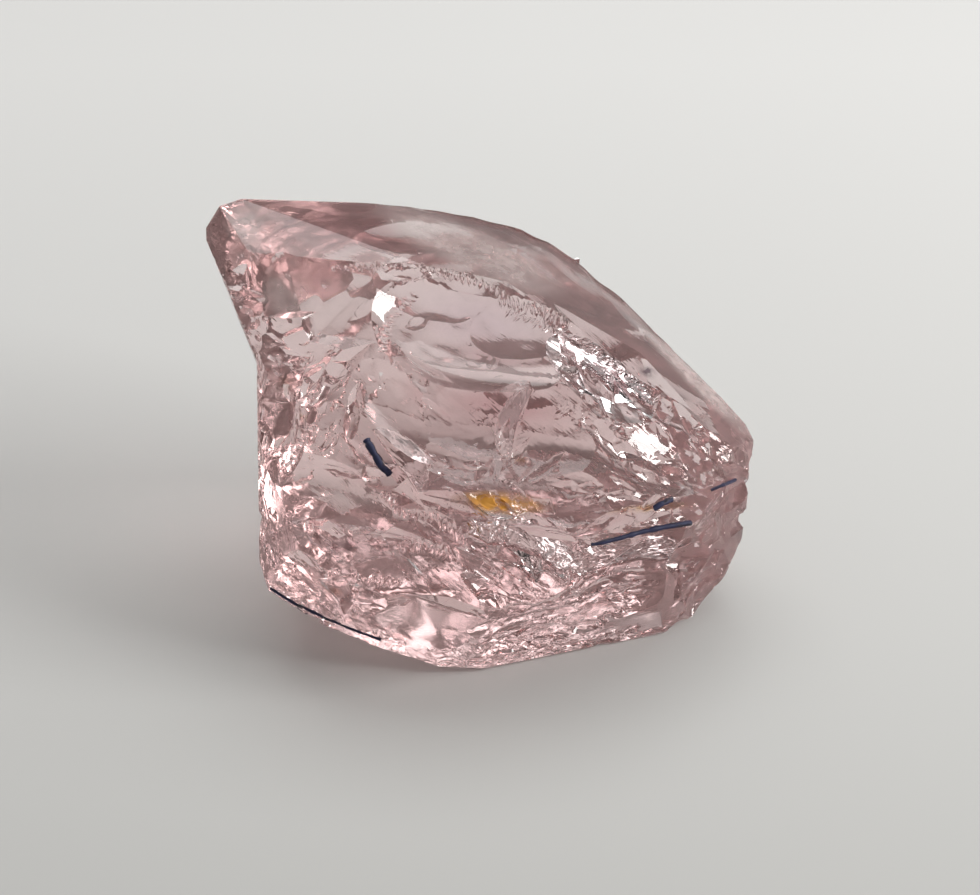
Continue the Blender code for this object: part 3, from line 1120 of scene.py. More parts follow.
@dataclass(frozen=True)
class Combs:
    """All the combs' teeth, set along their courses by Geometry Nodes.

    Attributes:
        slimness: a tooth's width as a share of its spacing.
        depth: a tooth's depth as a share of its spacing.
        seed: the teeth's seed.
    """

    slimness: float = 0.55
    depth: float = 0.9
    seed: int = 3

    def tree(self) -> bpy.types.NodeTree:
        """Builds the tree that sets teeth across a course.

        Returns:
            The node tree, whose inputs are the courses, Length, Spacing, Lean, Slimness, Depth and Seed.
        """
        tree = bpy.data.node_groups.new("combs", "GeometryNodeTree")
        face = tree.interface
        face.new_socket("Geometry", in_out="OUTPUT", socket_type="NodeSocketGeometry")
        face.new_socket("Courses", in_out="INPUT", socket_type="NodeSocketGeometry")
        for name in ("Length", "Spacing", "Lean", "Slimness", "Depth"):
            face.new_socket(name, in_out="INPUT", socket_type="NodeSocketFloat")
        face.new_socket("Seed", in_out="INPUT", socket_type="NodeSocketInt")
        new, link = tree.nodes.new, tree.links.new
        given = new("NodeGroupInput")
        result = new("NodeGroupOutput")
        course = new("GeometryNodeMeshToCurve")
        link(given.outputs["Courses"], course.inputs[0])
        spaced = new("GeometryNodeResampleCurve")
        spaced.mode = "LENGTH"
        link(course.outputs[0], spaced.inputs[0])
        link(given.outputs["Spacing"], spaced.inputs["Length"])

        outward = new("GeometryNodeInputNamedAttribute")
        outward.data_type = "FLOAT_VECTOR"
        outward.inputs["Name"].default_value = "outward"
        tangent = new("GeometryNodeInputTangent")
        across = new("ShaderNodeVectorMath")
        across.operation = "CROSS_PRODUCT"
        link(outward.outputs[0], across.inputs[0])
        link(tangent.outputs[0], across.inputs[1])
        upright = new("FunctionNodeAlignRotationToVector")
        upright.axis = "Z"
        link(outward.outputs[0], upright.inputs["Vector"])
        squared = new("FunctionNodeAlignRotationToVector")
        squared.axis = "X"
        squared.pivot_axis = "Z"
        link(upright.outputs[0], squared.inputs["Rotation"])
        link(across.outputs[0], squared.inputs["Vector"])
        spin = new("FunctionNodeRandomValue")
        spin.data_type = "FLOAT"
        spin.inputs[2].default_value = -0.3
        spin.inputs[3].default_value = 0.3
        link(given.outputs["Seed"], spin.inputs["Seed"])
        lean = Value(tree, spin.outputs[1]) + Value(tree, given.outputs["Lean"])
        turn = new("ShaderNodeCombineXYZ")
        link(lean.socket, turn.inputs["Z"])
        tilt = new("FunctionNodeEulerToRotation")
        link(turn.outputs[0], tilt.inputs[0])
        turned = new("FunctionNodeRotateRotation")
        turned.rotation_space = "LOCAL"
        link(squared.outputs[0], turned.inputs[0])
        link(tilt.outputs[0], turned.inputs[1])

        uneven = new("FunctionNodeRandomValue")
        uneven.data_type = "FLOAT_VECTOR"
        uneven.inputs[0].default_value = (0.6, 0.7, 0.5)
        uneven.inputs[1].default_value = (1.4, 1.2, 1.3)
        link(given.outputs["Seed"], uneven.inputs["Seed"])
        spacing = Value(tree, given.outputs["Spacing"])
        size = new("ShaderNodeCombineXYZ")
        link(given.outputs["Length"], size.inputs["X"])
        link((spacing * Value(tree, given.outputs["Slimness"])).socket, size.inputs["Y"])
        link((spacing * Value(tree, given.outputs["Depth"])).socket, size.inputs["Z"])
        sized = new("ShaderNodeVectorMath")
        sized.operation = "MULTIPLY"
        link(size.outputs[0], sized.inputs[0])
        link(uneven.outputs[0], sized.inputs[1])

        place = new("GeometryNodeInstanceOnPoints")
        link(spaced.outputs[0], place.inputs["Points"])
        link(bowl(tree, 6), place.inputs["Instance"])
        link(turned.outputs[0], place.inputs["Rotation"])
        link(sized.outputs[0], place.inputs["Scale"])
        real = new("GeometryNodeRealizeInstances")
        link(place.outputs[0], real.inputs[0])
        dressed = new("GeometryNodeSetMaterial")
        link(real.outputs[0], dressed.inputs[0])
        link(dressed.outputs[0], result.inputs[0])
        return tree

    def cutters(self, surface: BVHTree) -> list[bpy.types.Object]:
        """Sets every comb's teeth on the stone.

        Args:
            surface: the stone's surface, in millimetres.

        Returns:
            One cutter for each comb.
        """
        towards = VIEW.direction(0.0, 0.0, 1.0)
        tree = self.tree()
        named = {item.name: item.identifier for item in tree.interface.items_tree if item.in_out == "INPUT"}
        made = []
        for number, comb in enumerate(COMBS):
            courses = bmesh.new()
            layer = courses.verts.layers.float_vector.new("outward")
            previous = None
            for pixel in comb.course():
                point, normal, _, _ = surface.ray_cast(VIEW.placed(*from_pixel(*pixel), 30.0), -towards)
                if point is None:
                    continue
                corner = courses.verts.new(point)
                corner[layer] = (normal + towards).normalized()
                if previous:
                    courses.edges.new((previous, corner))
                previous = corner
            carrier = object_from(courses, f"comb_{number}")
            modifier = carrier.modifiers.new("combs", "NODES")
            modifier.node_group = tree
            modifier[named["Length"]] = comb.length
            modifier[named["Spacing"]] = comb.spacing
            modifier[named["Lean"]] = math.radians(comb.lean)
            modifier[named["Slimness"]] = self.slimness
            modifier[named["Depth"]] = self.depth
            modifier[named["Seed"]] = self.seed + number
            made.append(evaluated_copy(carrier, f"comb_{number}_cutter"))
        return made


@dataclass(frozen=True)
class Grain:
    """Which way the broken side splinters, and the fine steps that follow it.

    Attributes:
        spread: how far one direction holds, in millimetres.
        long: a step's length in millimetres.
        wide: a step's width in millimetres.
        height: a step's height in millimetres.
        steps: how many steps one wave of the noise is cut into.
    """

    spread: float = 1.1
    long: float = 1.3
    wide: float = 0.34
    height: float = 0.028
    steps: float = 2.2

    def shares(self, seen: np.ndarray) -> np.ndarray:
        """How much each known direction holds at each view-plane point.

        Args:
            seen: view-plane points.

        Returns:
            One row for each point and one column for each direction.
        """
        middles = np.array([from_pixel(*pixel) for pixel, _ in GRAIN_DIRECTIONS])
        away = ((seen[:, None, :2] - middles[None]) ** 2).sum(axis=2)
        nearest = away.min(axis=1, keepdims=True)
        shares = np.exp((nearest - away) / self.spread**2)
        return shares / shares.sum(axis=1, keepdims=True)

    def directions(self, seen: np.ndarray) -> np.ndarray:
        """The grain's direction at each view-plane point, in the upright frame."""
        turns = np.radians([turn for _, turn in GRAIN_DIRECTIONS])
        doubled = self.shares(seen) @ np.stack((np.cos(2 * turns), np.sin(2 * turns)), axis=1)
        turn = np.arctan2(doubled[:, 1], doubled[:, 0]) / 2
        across = VIEW.direction(1.0, 0.0, 0.0)
        up = VIEW.direction(0.0, 1.0, 0.0)
        return np.cos(turn)[:, None] * np.array(across) + np.sin(turn)[:, None] * np.array(up)

    def depths(self, seen: np.ndarray) -> np.ndarray:
        """How deep the fine steps are cut at each view-plane point, in millimetres."""
        shares = self.shares(seen)
        depths = np.zeros(len(seen))
        for number, (pixel, turn) in enumerate(GRAIN_DIRECTIONS):
            cos, sin = math.cos(math.radians(turn)), math.sin(math.radians(turn))
            middle = from_pixel(*pixel)
            local = seen[:, :2] - np.array(middle)
            along = (local[:, 0] * cos + local[:, 1] * sin) / self.long
            aside = (local[:, 1] * cos - local[:, 0] * sin) / self.wide
            inward = seen[:, 2] / (self.wide * 2.0)
            for row in np.nonzero(shares[:, number] > 0.04)[0]:
                wave = noise.noise(Vector((along[row] + number * 7.3, aside[row], inward[row])))
                step = (wave + 1.0) * self.steps
                depths[row] += shares[row, number] * (step - math.floor(step))
        return depths * self.height


@dataclass
class Stone:
    """The tourmaline itself.

    Attributes:
        worn_edge: how far the block's edges are worn.
        worn_steps: how many steps round a worn edge.
        segments: how many steps go round a fracture's ellipsoid.
        rings: how many steps go from pole to pole of it.
        finest: the longest edge left where ripples are carved.
        back_swell: how deep the back's swells are, which break up what is seen through the stone.
        back_swell_length: how long they are.
        back_swell_start: how far behind the view plane's centre they begin.
        base_fade: how high above the flat the carving reaches its full depth.
        outline: corners round the outline, on the view plane.
        front: corners of the faces turned to the viewer.
        back: corners at the back and round the flat, upright from the view plane's centre.
        notch: the wedge broken out below the horn.
        fractures: the shell-shaped fractures.
        chips: the large flat chips.
        cracks: the thin open cracks.
    """

    worn_edge: float = 0.16
    worn_steps: int = 2
    segments: int = 44
    rings: int = 56
    finest: float = 0.24
    back_swell: float = 0.12
    back_swell_length: float = 0.9
    back_swell_start: float = -1.2
    base_fade: float = 1.0
    outline: list[Point] = field(default_factory=list)
    front: list[Point] = field(default_factory=list)
    back: list[Point] = field(default_factory=list)
    notch: list[Point] = field(default_factory=list)
    fractures: dict[str, Fracture] = field(default_factory=dict)
    chips: dict[str, Chip] = field(default_factory=dict)
    cracks: dict[str, Crack] = field(default_factory=dict)

    def block(self) -> bmesh.types.BMesh:
        """Makes the unbroken block.

        Returns:
            The flat faces that the corners span, with their edges worn.
        """
        block = bmesh.new()
        for corner in self.outline + self.front:
            block.verts.new(VIEW.placed(*corner))
        for corner in self.back:
            block.verts.new(Vector(corner) - Vector((0.0, 0.0, VIEW.floor)))
        hull = bmesh.ops.convex_hull(block, input=block.verts)
        unused = set(hull["geom_interior"] + hull["geom_unused"])
        spare = [corner for corner in block.verts if corner in unused]
        bmesh.ops.delete(block, geom=spare, context="VERTS")
        bmesh.ops.bevel(
            block,
            geom=block.edges[:],
            offset=self.worn_edge,
            segments=self.worn_steps,
            profile=0.5,
            affect="EDGES",
            clamp_overlap=True,
        )
        bmesh.ops.remove_doubles(block, verts=block.verts, dist=0.002)
        bmesh.ops.recalc_face_normals(block, faces=block.faces)
        return block

    def notch_cutter(self) -> bpy.types.Object:
        """Makes the wedge that the notch's corners span."""
        wedge = bmesh.new()
        for corner in self.notch:
            wedge.verts.new(VIEW.placed(*corner))
        bmesh.ops.convex_hull(wedge, input=wedge.verts)
        bmesh.ops.recalc_face_normals(wedge, faces=wedge.faces)
        return object_from(wedge, "notch")

    def mark_broken(self, stone: bpy.types.Object) -> None:
        """Writes on each vertex how broken the stone is there.

        Args:
            stone: the stone.
        """
        mesh = stone.data
        points = np.zeros(len(mesh.vertices) * 3)
        mesh.vertices.foreach_get("co", points)
        broken = self.brokenness(VIEW.measured(points.reshape(-1, 3)))
        layer = mesh.attributes.new("broken", "FLOAT", "POINT")
        layer.data.foreach_set("value", broken.astype(np.float32))
        grain = Grain().directions(VIEW.measured(points.reshape(-1, 3)))
        layer = mesh.attributes.new("grain", "FLOAT_VECTOR", "POINT")
        layer.data.foreach_set("vector", grain.astype(np.float32).ravel())

    def brokenness(self, seen: np.ndarray) -> np.ndarray:
        """How broken each place is, from smooth to crushed.

        Args:
            seen: view-plane points.

        Returns:
            0 to 1 for each point.
        """
        across, up, towards = seen.T
        broken = np.ones(len(seen))
        crest = np.interp(across, [-8.0, -1.4, 0.8, 2.3, 4.5, 7.0], [5.0, 4.6, 4.1, 3.0, 1.4, -0.4])
        broken[up > crest] = 0.0
        broken[towards < -1.0] *= 0.15
        for (column, row), long, wide, turn in SMOOTH_PATCHES:
            middle_across, middle_up = from_pixel(column, row)
            cos, sin = math.cos(math.radians(turn)), math.sin(math.radians(turn))
            along = ((across - middle_across) * cos + (up - middle_up) * sin) / long
            aside = ((up - middle_up) * cos - (across - middle_across) * sin) / wide
            broken *= np.clip((np.hypot(along, aside) - 0.8) / 0.3, 0.02, 1.0)
        return broken

    def build(self) -> bpy.types.Object:
        """Builds the stone.

        Returns:
            The finished piece, in metres.
        """
        block = self.block()
        surface = BVHTree.FromBMesh(block)
        stone = object_from(block, "pink_stone")
        cutters = [self.notch_cutter()]
        cutters += [part.cutter(name, surface, self.segments, self.rings) for name, part in self.fractures.items()]
        cutters += [part.cutter(name, surface) for name, part in self.chips.items()]
        stone = take_away(stone, cutters)
        LOG.info("main fractures: %d faces", len(stone.data.polygons))
        self.refine(stone, 0.6)
        self.mark_broken(stone)
        flaking = BVHTree.FromObject(stone, bpy.context.evaluated_depsgraph_get())
        flakes = joined([SmallFlakes().cutters(stone), *Combs().cutters(flaking)], "flakes_cutter")
        LOG.info("flake cutters: %d faces", len(flakes.data.polygons))
        stone = take_away(stone, [flakes], crossing=True)
        LOG.info("small flakes: %d faces", len(stone.data.polygons))
        broken_surface = BVHTree.FromObject(stone, bpy.context.evaluated_depsgraph_get())
        if self.cracks:
            stone = take_away(stone, [part.cutter(name, broken_surface) for name, part in self.cracks.items()])
        self.refine(stone, self.finest)
        drop_folds(stone)
        self.ripple(stone)
        Looks().write(stone)
        stone.data.transform(Matrix.Scale(MM, 4))
        stone.data.shade_smooth()
        stone.data.set_sharp_from_angle(angle=math.radians(24.0))
        LOG.info("stone: %d triangles", len(stone.data.polygons))
        return stone

    def refine(self, stone: bpy.types.Object, longest: float) -> None:
        """Splits edges until none is longer than a length.

        Args:
            stone: the stone.
            longest: the longest edge to leave.
        """
        shape = bmesh.new()
        shape.from_mesh(stone.data)
        bmesh.ops.remove_doubles(shape, verts=shape.verts, dist=0.002)
        bmesh.ops.dissolve_degenerate(shape, edges=shape.edges, dist=0.002)
        bmesh.ops.triangulate(shape, faces=shape.faces)
        for _ in range(8):
            long_edges = [edge for edge in shape.edges if edge.calc_length() > longest]
            if not long_edges:
                break
            bmesh.ops.subdivide_edges(shape, edges=long_edges, cuts=1)
            bmesh.ops.triangulate(shape, faces=[face for face in shape.faces if len(face.verts) > 3])
        shape.to_mesh(stone.data)
        shape.free()

    def ripple(self, stone: bpy.types.Object) -> None:
        """Carves shallow ripples and grain into the broken side.

        Args:
            stone: the stone, whose vertices are moved inwards.
        """
        mesh = stone.data
        points = np.zeros(len(mesh.vertices) * 3)
        mesh.vertices.foreach_get("co", points)
        points = points.reshape(-1, 3)
        normals = np.zeros(len(mesh.vertices) * 3)
        mesh.vertex_normals.foreach_get("vector", normals)
        normals = normals.reshape(-1, 3)
        seen = VIEW.measured(points)
        broken = self.brokenness(seen)
        depth = np.zeros(len(points))
        for start_across, start_up, spacing, height in RIPPLES:
            away = np.hypot(seen[:, 0] - start_across, seen[:, 1] - start_up)
            depth += height * (0.5 + 0.5 * np.sin(away * math.tau / spacing)) * np.exp(-((away / 3.0) ** 2))
        depth += Grain().depths(seen)
        depth *= 0.06 + 0.94 * broken
        for row in np.nonzero(seen[:, 2] < self.back_swell_start)[0]:
            share = min(1.0, self.back_swell_start - seen[row, 2])
            wave = noise.noise(Vector(points[row]) / self.back_swell_length)
            depth[row] += share * self.back_swell * (1.0 + wave)
        off_base = np.clip(points[:, 2] / self.base_fade, 0.0, 1.0)
        lowest, highest = points.min(axis=0), points.max(axis=0)
        points -= normals * (depth * off_base)[:, None]
        points = np.clip(points, lowest, highest)
        mesh.vertices.foreach_set("co", points.ravel())
        mesh.update()


# Smooth patches: middle pixel, half length and half width in millimetres, and turn in degrees
SMOOTH_PATCHES = [
    ((478, 338), 2.6, 1.7, -14),
    ((345, 300), 1.6, 1.2, 45),
    ((292, 290), 1.1, 1.0, 0),
    ((400, 425), 1.3, 1.0, -45),
    ((430, 618), 1.5, 0.8, -8),
    ((330, 492), 1.7, 0.6, -10),
    ((565, 445), 1.2, 0.6, -25),
    ((640, 548), 1.4, 0.5, 12),
    ((425, 485), 0.8, 0.45, -35),
    ((640, 612), 1.0, 0.5, 20),
    ((350, 350), 0.8, 0.5, 30),
]

# The grain of the broken side: a pixel of the photograph and the turn up from the right there
GRAIN_DIRECTIONS = [
    ((300, 300), -20),
    ((340, 330), 35),
    ((470, 300), -14),
    ((560, 320), -30),
    ((640, 380), -42),
    ((710, 440), -42),
    ((610, 440), -32),
    ((520, 420), 62),
    ((400, 420), -55),
    ((330, 440), 70),
    ((270, 420), 84),
    ((265, 520), 84),
    ((350, 480), -16),
    ((430, 520), -35),
    ((490, 560), -46),
    ((560, 560), -38),
    ((650, 560), 12),
    ((700, 500), 12),
    ((600, 500), 6),
    ((340, 550), -10),
    ((300, 590), -35),
    ((430, 620), -10),
    ((560, 640), 10),
    ((660, 600), 28),
]

# Ripples: the blow across and up, their spacing and their height, in millimetres
RIPPLES = [
    (-2.6, 5.2, 0.42, 0.02),
    (3.2, -4.8, 0.33, 0.025),
    (-3.9, -4.6, 0.28, 0.02),
    (5.8, 1.2, 0.37, 0.02),
]

OUTLINE_CORNERS = [
    (-6.65, 6.52, -0.6),
    (-4.0, 6.45, -1.3),
    (-1.3, 6.33, -2.0),
    (-0.2, 6.16, -2.3),
    (1.2, 5.78, -2.6),
    (1.95, 5.47, -2.7),
    (2.7, 4.98, -2.7),
    (3.7, 4.12, -2.5),
    (4.8, 3.05, -2.1),
    (5.7, 2.1, -1.7),
    (6.75, 0.98, -1.2),
    (7.4, 0.25, -0.8),
    (7.62, -0.2, -0.6),
    (7.52, -1.3, -0.6),
    (7.32, -2.9, -0.8),
    (6.85, -3.95, -0.6),
    (5.9, -5.15, -0.3),
    (5.1, -5.55, 0.1),
    (2.9, -5.8, 0.7),
    (1.1, -6.3, 1.2),
    (0.1, -6.5, 1.6),
    (-1.1, -6.45, 1.8),
    (-2.8, -5.92, 2.0),
    (-4.5, -5.25, 1.9),
    (-5.85, -4.35, 1.5),
    (-6.1, -3.6, 1.3),
    (-6.15, -1.0, 1.0),
    (-7.6, 5.1, 0.0),
    (-7.62, 5.7, -0.2),
    (-7.25, 6.32, -0.4),
]

FRONT_CORNERS = [
    (-2.9, 6.42, -1.3),
    (-1.8, 6.2, -1.45),
    (0.5, 5.4, -1.3),
    (2.1, 4.45, -1.1),
    (4.45, 2.65, -0.7),
    (5.85, 1.0, -0.25),
    (-6.4, 5.0, 1.0),
    (-4.2, 4.8, 1.3),
    (-1.4, 4.6, 1.1),
    (0.8, 4.1, 1.1),
    (2.3, 3.0, 1.4),
    (4.5, 1.4, 1.5),
    (7.0, -0.4, 0.6),
    (-4.9, -0.6, 3.1),
    (-2.4, -2.0, 4.3),
    (-0.2, -2.4, 4.5),
    (2.5, -2.3, 4.0),
    (4.8, -2.0, 2.9),
    (6.7, -1.6, 1.3),
    (-5.0, -3.5, 2.9),
    (-2.3, -4.6, 3.6),
    (0.0, -4.9, 3.6),
    (2.5, -4.4, 3.2),
    (4.8, -4.3, 2.0),
]

BACK_CORNERS = [
    (-6.5, 3.2, 2.2),
    (-5.3, 4.6, 0.4),
    (-2.2, 5.6, 1.6),
    (1.2, 5.7, 0.8),
    (4.0, 4.6, -0.4),
    (6.5, 2.2, -1.6),
    (-5.6, 1.6, -3.2),
    (-4.3, 3.6, -3.4),
    (0.4, 4.4, -4.0),
    (4.4, 3.2, -4.1),
    (6.6, 0.2, -3.8),
    (-4.2, -0.4, -4.5),
    (-2.6, 2.2, -4.5),
    (2.6, 2.6, -4.5),
    (5.4, 0.4, -4.5),
    (4.8, -2.6, -4.5),
    (0.4, -4.6, -4.5),
    (-2.6, -3.6, -4.5),
]

NOTCH_CORNERS = [
    (-5.85, 2.05, 12.0),
    (-5.75, -8.0, 12.0),
    (-11.3, 15.3, 12.0),
    (-6.55, 1.85, -12.0),
    (-6.45, -8.0, -12.0),
    (-12.0, 15.1, -12.0),
]

FRACTURES = {
    "great_bowl": Fracture(-0.15, 2.75, 3.0, 1.9, 0.85, turn=-14),
    "bowl_lip": Fracture(0.35, 3.75, 1.9, 0.6, 0.34, turn=-16),
    "dark_hollow": Fracture(0.6, 0.1, 2.9, 1.6, 0.6, turn=-8),
    "crest_flank": Fracture(3.9, 1.7, 3.0, 1.5, 0.42, turn=-42),
    "right_shelf": Fracture(4.9, -0.6, 2.5, 1.25, 0.42, turn=-12),
    "belly_shelf": Fracture(2.0, -1.9, 2.6, 1.1, 0.35, turn=-4),
    "shoulder": Fracture(-4.9, 1.9, 1.9, 1.2, 0.4, turn=-8),
    "left_cheek": Fracture(-5.4, 0.1, 1.6, 1.0, 0.35, turn=75),
    "bulge_side": Fracture(-2.1, 0.6, 1.9, 0.9, 0.3, turn=-55),
    "under_ledge": Fracture(-4.1, -2.0, 2.5, 1.35, 0.55, turn=-16),
    "ledge_fan": Fracture(-1.2, -2.5, 2.2, 0.9, 0.35, turn=-22),
    "comb_hollow": Fracture(-2.3, -3.6, 2.5, 1.2, 0.45, turn=-10),
    "left_foot": Fracture(-4.8, -4.2, 2.0, 1.2, 0.32, turn=-34),
    "mid_foot": Fracture(0.8, -3.7, 2.2, 1.2, 0.42, turn=-32),
    "stained_shelf": Fracture(4.5, -2.9, 3.1, 1.15, 0.4, turn=10),
    "right_foot": Fracture(4.0, -4.4, 2.6, 1.15, 0.38, turn=14),
    "toe": Fracture(1.9, -5.3, 2.2, 0.9, 0.28, turn=8),
    "toe_arch": Fracture(2.6, -5.9, 1.7, 1.2, 0.24, turn=4, facing=Facing.BELOW),
    "right_edge": Fracture(7.0, -1.9, 1.9, 0.9, 0.26, turn=80),
    "right_corner": Fracture(6.4, -4.6, 0.9, 0.7, 0.16, turn=-50, facing=Facing.BELOW_RIGHT),
    "left_wall": Fracture(0.0, -1.8, 2.2, 1.5, 0.6, turn=90, facing=Facing.LEFT),
    "back_hollow": Fracture(1.2, -0.8, 3.2, 1.9, 0.6, turn=12, facing=Facing.BEHIND),
    "back_step": Fracture(-1.9, 0.9, 2.1, 1.0, 0.35, turn=-15, facing=Facing.BEHIND),
    "back_left": Fracture(-2.6, -2.0, 2.4, 1.6, 0.45, turn=30, facing=Facing.BEHIND_LEFT),
    "back_right": Fracture(2.9, -1.6, 2.2, 1.5, 0.45, turn=-40, facing=Facing.BEHIND_RIGHT),
}

CHIPS = {
    "horn_window": Chip(-3.8, 3.4, 2.1, 1.5, 0.4, turn=52, sides=4, tip=(-0.4, 0.1)),
    "horn_triangle": Chip(-5.2, 3.9, 1.9, 1.5, 0.36, turn=-25, sides=3, tip=(0.2, -0.2)),
    "comb_nick": Chip(1.9, 3.2, 1.3, 0.6, 0.45, turn=-35, sides=4, tip=(0.2, 0.5)),
    "sparkle_nick": Chip(2.6, 1.7, 1.1, 0.8, 0.5, turn=-70, sides=3, tip=(0.0, 0.3)),
    "flank_step": Chip(4.2, 2.0, 2.8, 0.8, 0.5, turn=-43, sides=4, tip=(0.3, 0.4)),
    "flank_notch": Chip(4.9, 0.7, 1.4, 0.9, 0.5, turn=-20, sides=3, tip=(-0.3, 0.2)),
    "hollow_step": Chip(0.1, -0.8, 2.2, 1.0, 0.6, turn=14, sides=4, tip=(0.4, 0.4)),
    "shelf_notch": Chip(3.8, -0.2, 1.4, 0.9, 0.55, turn=35, sides=3, tip=(0.1, 0.1)),
    "shelf_facet": Chip(6.0, -0.9, 1.5, 0.9, 0.45, turn=-48, sides=4, tip=(0.3, -0.3)),
    "shoulder_nick": Chip(-3.8, 1.9, 1.2, 0.7, 0.45, turn=40, sides=3, tip=(0.2, 0.2)),
    "cheek_nick": Chip(-5.4, 1.1, 1.0, 0.7, 0.42, turn=70, sides=3, tip=(0.0, 0.2)),
    "ledge_end": Chip(-2.5, -1.6, 1.6, 0.8, 0.55, turn=-36, sides=4, tip=(0.4, 0.4)),
    "ledge_step": Chip(-0.7, -2.1, 1.9, 0.6, 0.5, turn=-20, sides=4, tip=(0.2, 0.4)),
    "fan_step": Chip(1.5, -3.0, 2.2, 0.8, 0.6, turn=-36, sides=4, tip=(0.2, 0.4)),
    "fan_notch": Chip(0.0, -3.4, 1.4, 0.9, 0.6, turn=-50, sides=3, tip=(0.0, 0.2)),
    "dark_pit": Chip(-3.8, -3.1, 1.1, 0.7, 0.7, turn=8, sides=5, tip=(0.2, 0.3)),
    "foot_pit": Chip(-4.0, -4.3, 1.1, 0.8, 0.5, turn=-35, sides=3, tip=(0.1, 0.2)),
    "pale_facet": Chip(-1.4, -5.1, 2.5, 1.3, 0.4, turn=-8, sides=5, tip=(-0.2, 0.3)),
    "layer_step": Chip(4.3, -3.6, 2.6, 0.7, 0.55, turn=14, sides=4, tip=(0.2, 0.4)),
    "layer_edge": Chip(5.6, -2.1, 1.8, 0.6, 0.42, turn=12, sides=4, tip=(-0.3, 0.3)),
    "foot_step": Chip(3.2, -4.9, 1.9, 0.6, 0.45, turn=20, sides=4, tip=(0.3, 0.3)),
    "foot_corner": Chip(5.8, -4.0, 1.2, 0.8, 0.4, turn=-60, sides=3, tip=(0.0, 0.1)),
}

COMBS = [
    Comb(((500, 301), (522, 307), (545, 314), (572, 326)), 0.30, 0.13, 10),
    Comb(((508, 312), (530, 320), (556, 332)), 0.24, 0.12, -15),
    Comb(((335, 270), (380, 266), (430, 270), (480, 284), (503, 296)), 0.20, 0.17, 20),
    Comb(((385, 350), (392, 320), (415, 296)), 0.22, 0.16, 25),
    Comb(((575, 335), (610, 362), (650, 395), (700, 430)), 0.22, 0.18, -40),
    Comb(((400, 545), (430, 548), (460, 556), (500, 580)), 0.30, 0.13, 8),
    Comb(((338, 572), (370, 578), (400, 580)), 0.20, 0.13, -8),
    Comb(((320, 415), (300, 445), (290, 470)), 0.22, 0.16, 12),
    Comb(((385, 492), (405, 512), (440, 520), (470, 540)), 0.28, 0.16, 30),
]

CRACKS = {
    "fan_a": Crack(*from_pixel(470, 520), 1.5, 1.3, 0.02, -35, 40),
    "fan_b": Crack(*from_pixel(505, 545), 1.3, 1.2, 0.02, -48, 35),
    "fan_c": Crack(*from_pixel(545, 560), 1.2, 1.0, 0.02, -38, 45),
    "bulge_veil": Crack(*from_pixel(395, 460), 1.1, 1.4, 0.02, -60, 50),
    "hollow_veil": Crack(*from_pixel(520, 420), 1.2, 1.3, 0.02, 70, 60),
    "flank_veil": Crack(*from_pixel(600, 380), 1.8, 1.1, 0.02, -42, 35),
    "layer_veil": Crack(*from_pixel(630, 560), 1.7, 1.2, 0.02, 14, 40),
}


@dataclass(frozen=True)
class Needle:
    """A dark needle lying in the surface.

    Attributes:
        pixels: its course, in pixels of the photograph.
        thickness: its thickness in millimetres.
    """

    pixels: tuple[tuple[float, float], ...]
    thickness: float


NEEDLES = [
    Needle(((368, 440), (375, 452), (382, 464), (391, 473)), 0.20),
    Needle(((590, 543), (615, 538), (640, 531), (665, 526), (690, 522)), 0.13),
    Needle(((652, 508), (660, 503), (670, 499)), 0.13),
    Needle(((710, 490), (722, 485), (735, 480)), 0.09),
    Needle(((272, 587), (284, 595), (297, 603), (310, 609), (323, 615), (338, 621), (352, 627), (382, 638)), 0.08),
]


